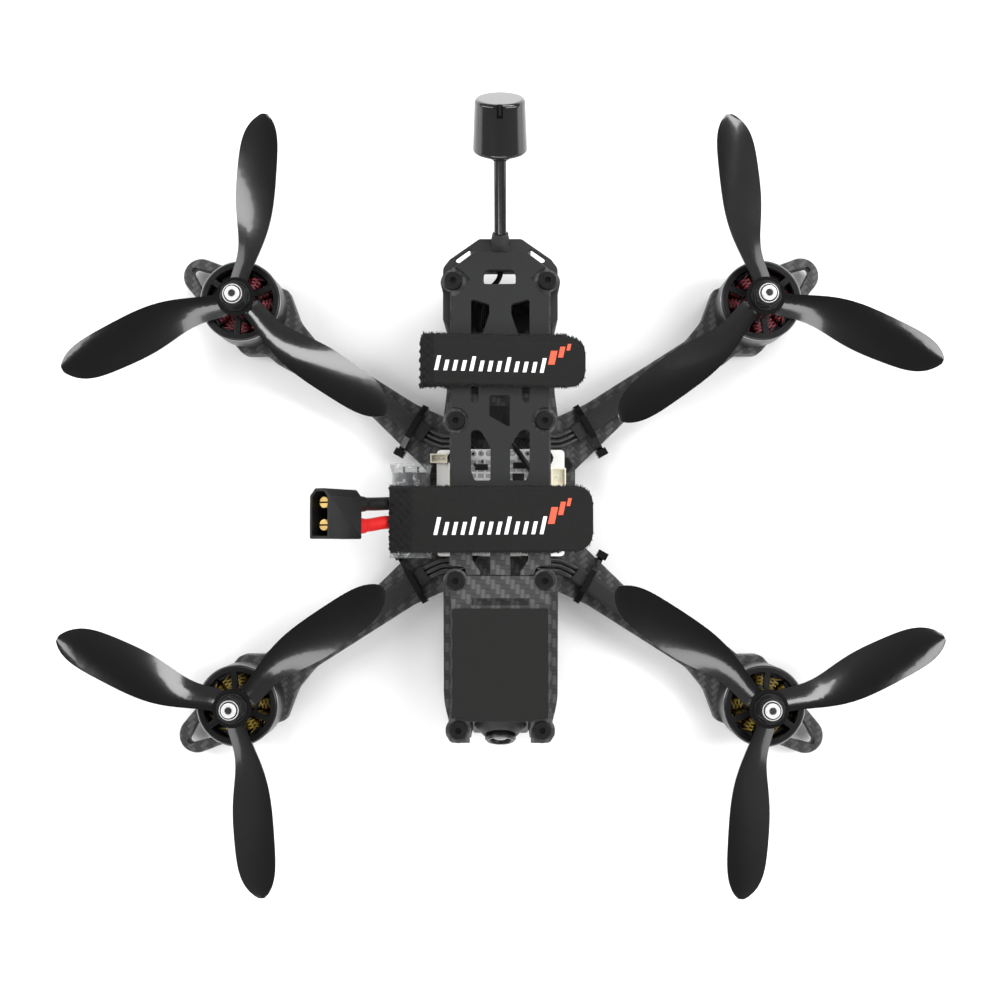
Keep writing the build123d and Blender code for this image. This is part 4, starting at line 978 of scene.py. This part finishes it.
def make_board_wire():
    """A short black wire that crosses the upper board between two joints."""
    route = [(3.4, 21.0, 23.2), (3.9, 20.2, 25.6), (5.2, 18.4, 26.6), (7.0, 15.9, 26.6), (8.9, 13.2, 26.2),
             (10.2, 11.4, 24.8), (10.6, 10.8, 23.2)]
    points = [Vector(place) for place in in_metres(route)]
    smooth = [points[0]]
    for before, here, after in zip(points, points[1:], points[2:]):
        smooth += [before.lerp(here, 0.75), here, here.lerp(after, 0.25)]
    smooth.append(points[-1])
    mesh = mesh_from("board_wire", lambda bm: add_tube(bm, smooth, 0.95 * mm, 14))
    finish_piece("board_wire", mesh, "frame", ["rubber_wire"])


def make_capacitor_trim():
    """The can's bare end, and clear film pulled tight round the can and crinkled past its ends."""
    low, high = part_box("capacitor")
    sleeve_low, sleeve_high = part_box("capacitor_sleeve")
    axis = Vector((0, 1, 0))
    centre = Vector(((sleeve_low.x + sleeve_high.x) / 2, 0, (sleeve_low.z + sleeve_high.z) / 2))
    film_radius = 6.67 * mm
    steps, rows = 72, 60
    start = sleeve_low.y - 1.2 * mm
    length = sleeve_high.y - sleeve_low.y + 1.6 * mm
    disc = in_metres([(5.4, 0.0), (5.3, 0.06), (0.0, 0.06)])
    mesh = mesh_from("capacitor_end", lambda bm: add_lathe(bm, centre + axis * low.y, -axis, disc, 48))
    finish_piece("capacitor_end", mesh, "frame", ["aluminium"], smooth=False)

    def film(bm):
        rings = []
        for row in range(rows + 1):
            y = start + row / rows * length
            loose = max(0.0, low.y + 1 * mm - y, y - (high.y - 3.0 * mm)) / mm
            ring = []
            for step in range(steps):
                angle = math.tau * step / steps
                spot = Vector((math.cos(angle) * 2.2, y * 300, math.sin(angle) * 2.2))
                crinkle = 0.22 * noise.noise(spot * 1.1) + 0.12 * noise.noise(spot * 2.9)
                flare = crinkle * (0.6 + 0.7 * loose) + 0.18 * loose * math.cos(2 * angle)
                radius = film_radius + flare * mm
                place = Vector((math.cos(angle) * radius, y, math.sin(angle) * radius))
                ring.append(bm.verts.new(centre + place))
            rings.append(ring)
        for ring, following in zip(rings, rings[1:]):
            for step in range(steps):
                other = (step + 1) % steps
                bm.faces.new((ring[step], ring[other], following[other], following[step]))
    piece = finish_piece("capacitor_film", mesh_from("capacitor_film", film), "frame", ["film"])
    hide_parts("capacitor_sleeve")


# ---------------------------------------------------------------- the scene

make_camera()
make_stage()
paints = make_materials()
make_leads()
dress_frame()
make_straps()
make_windings()
make_bell_trim()
make_lens_glass()
make_board_parts()
make_chip_covers()
make_board_wire()
make_capacitor_trim()
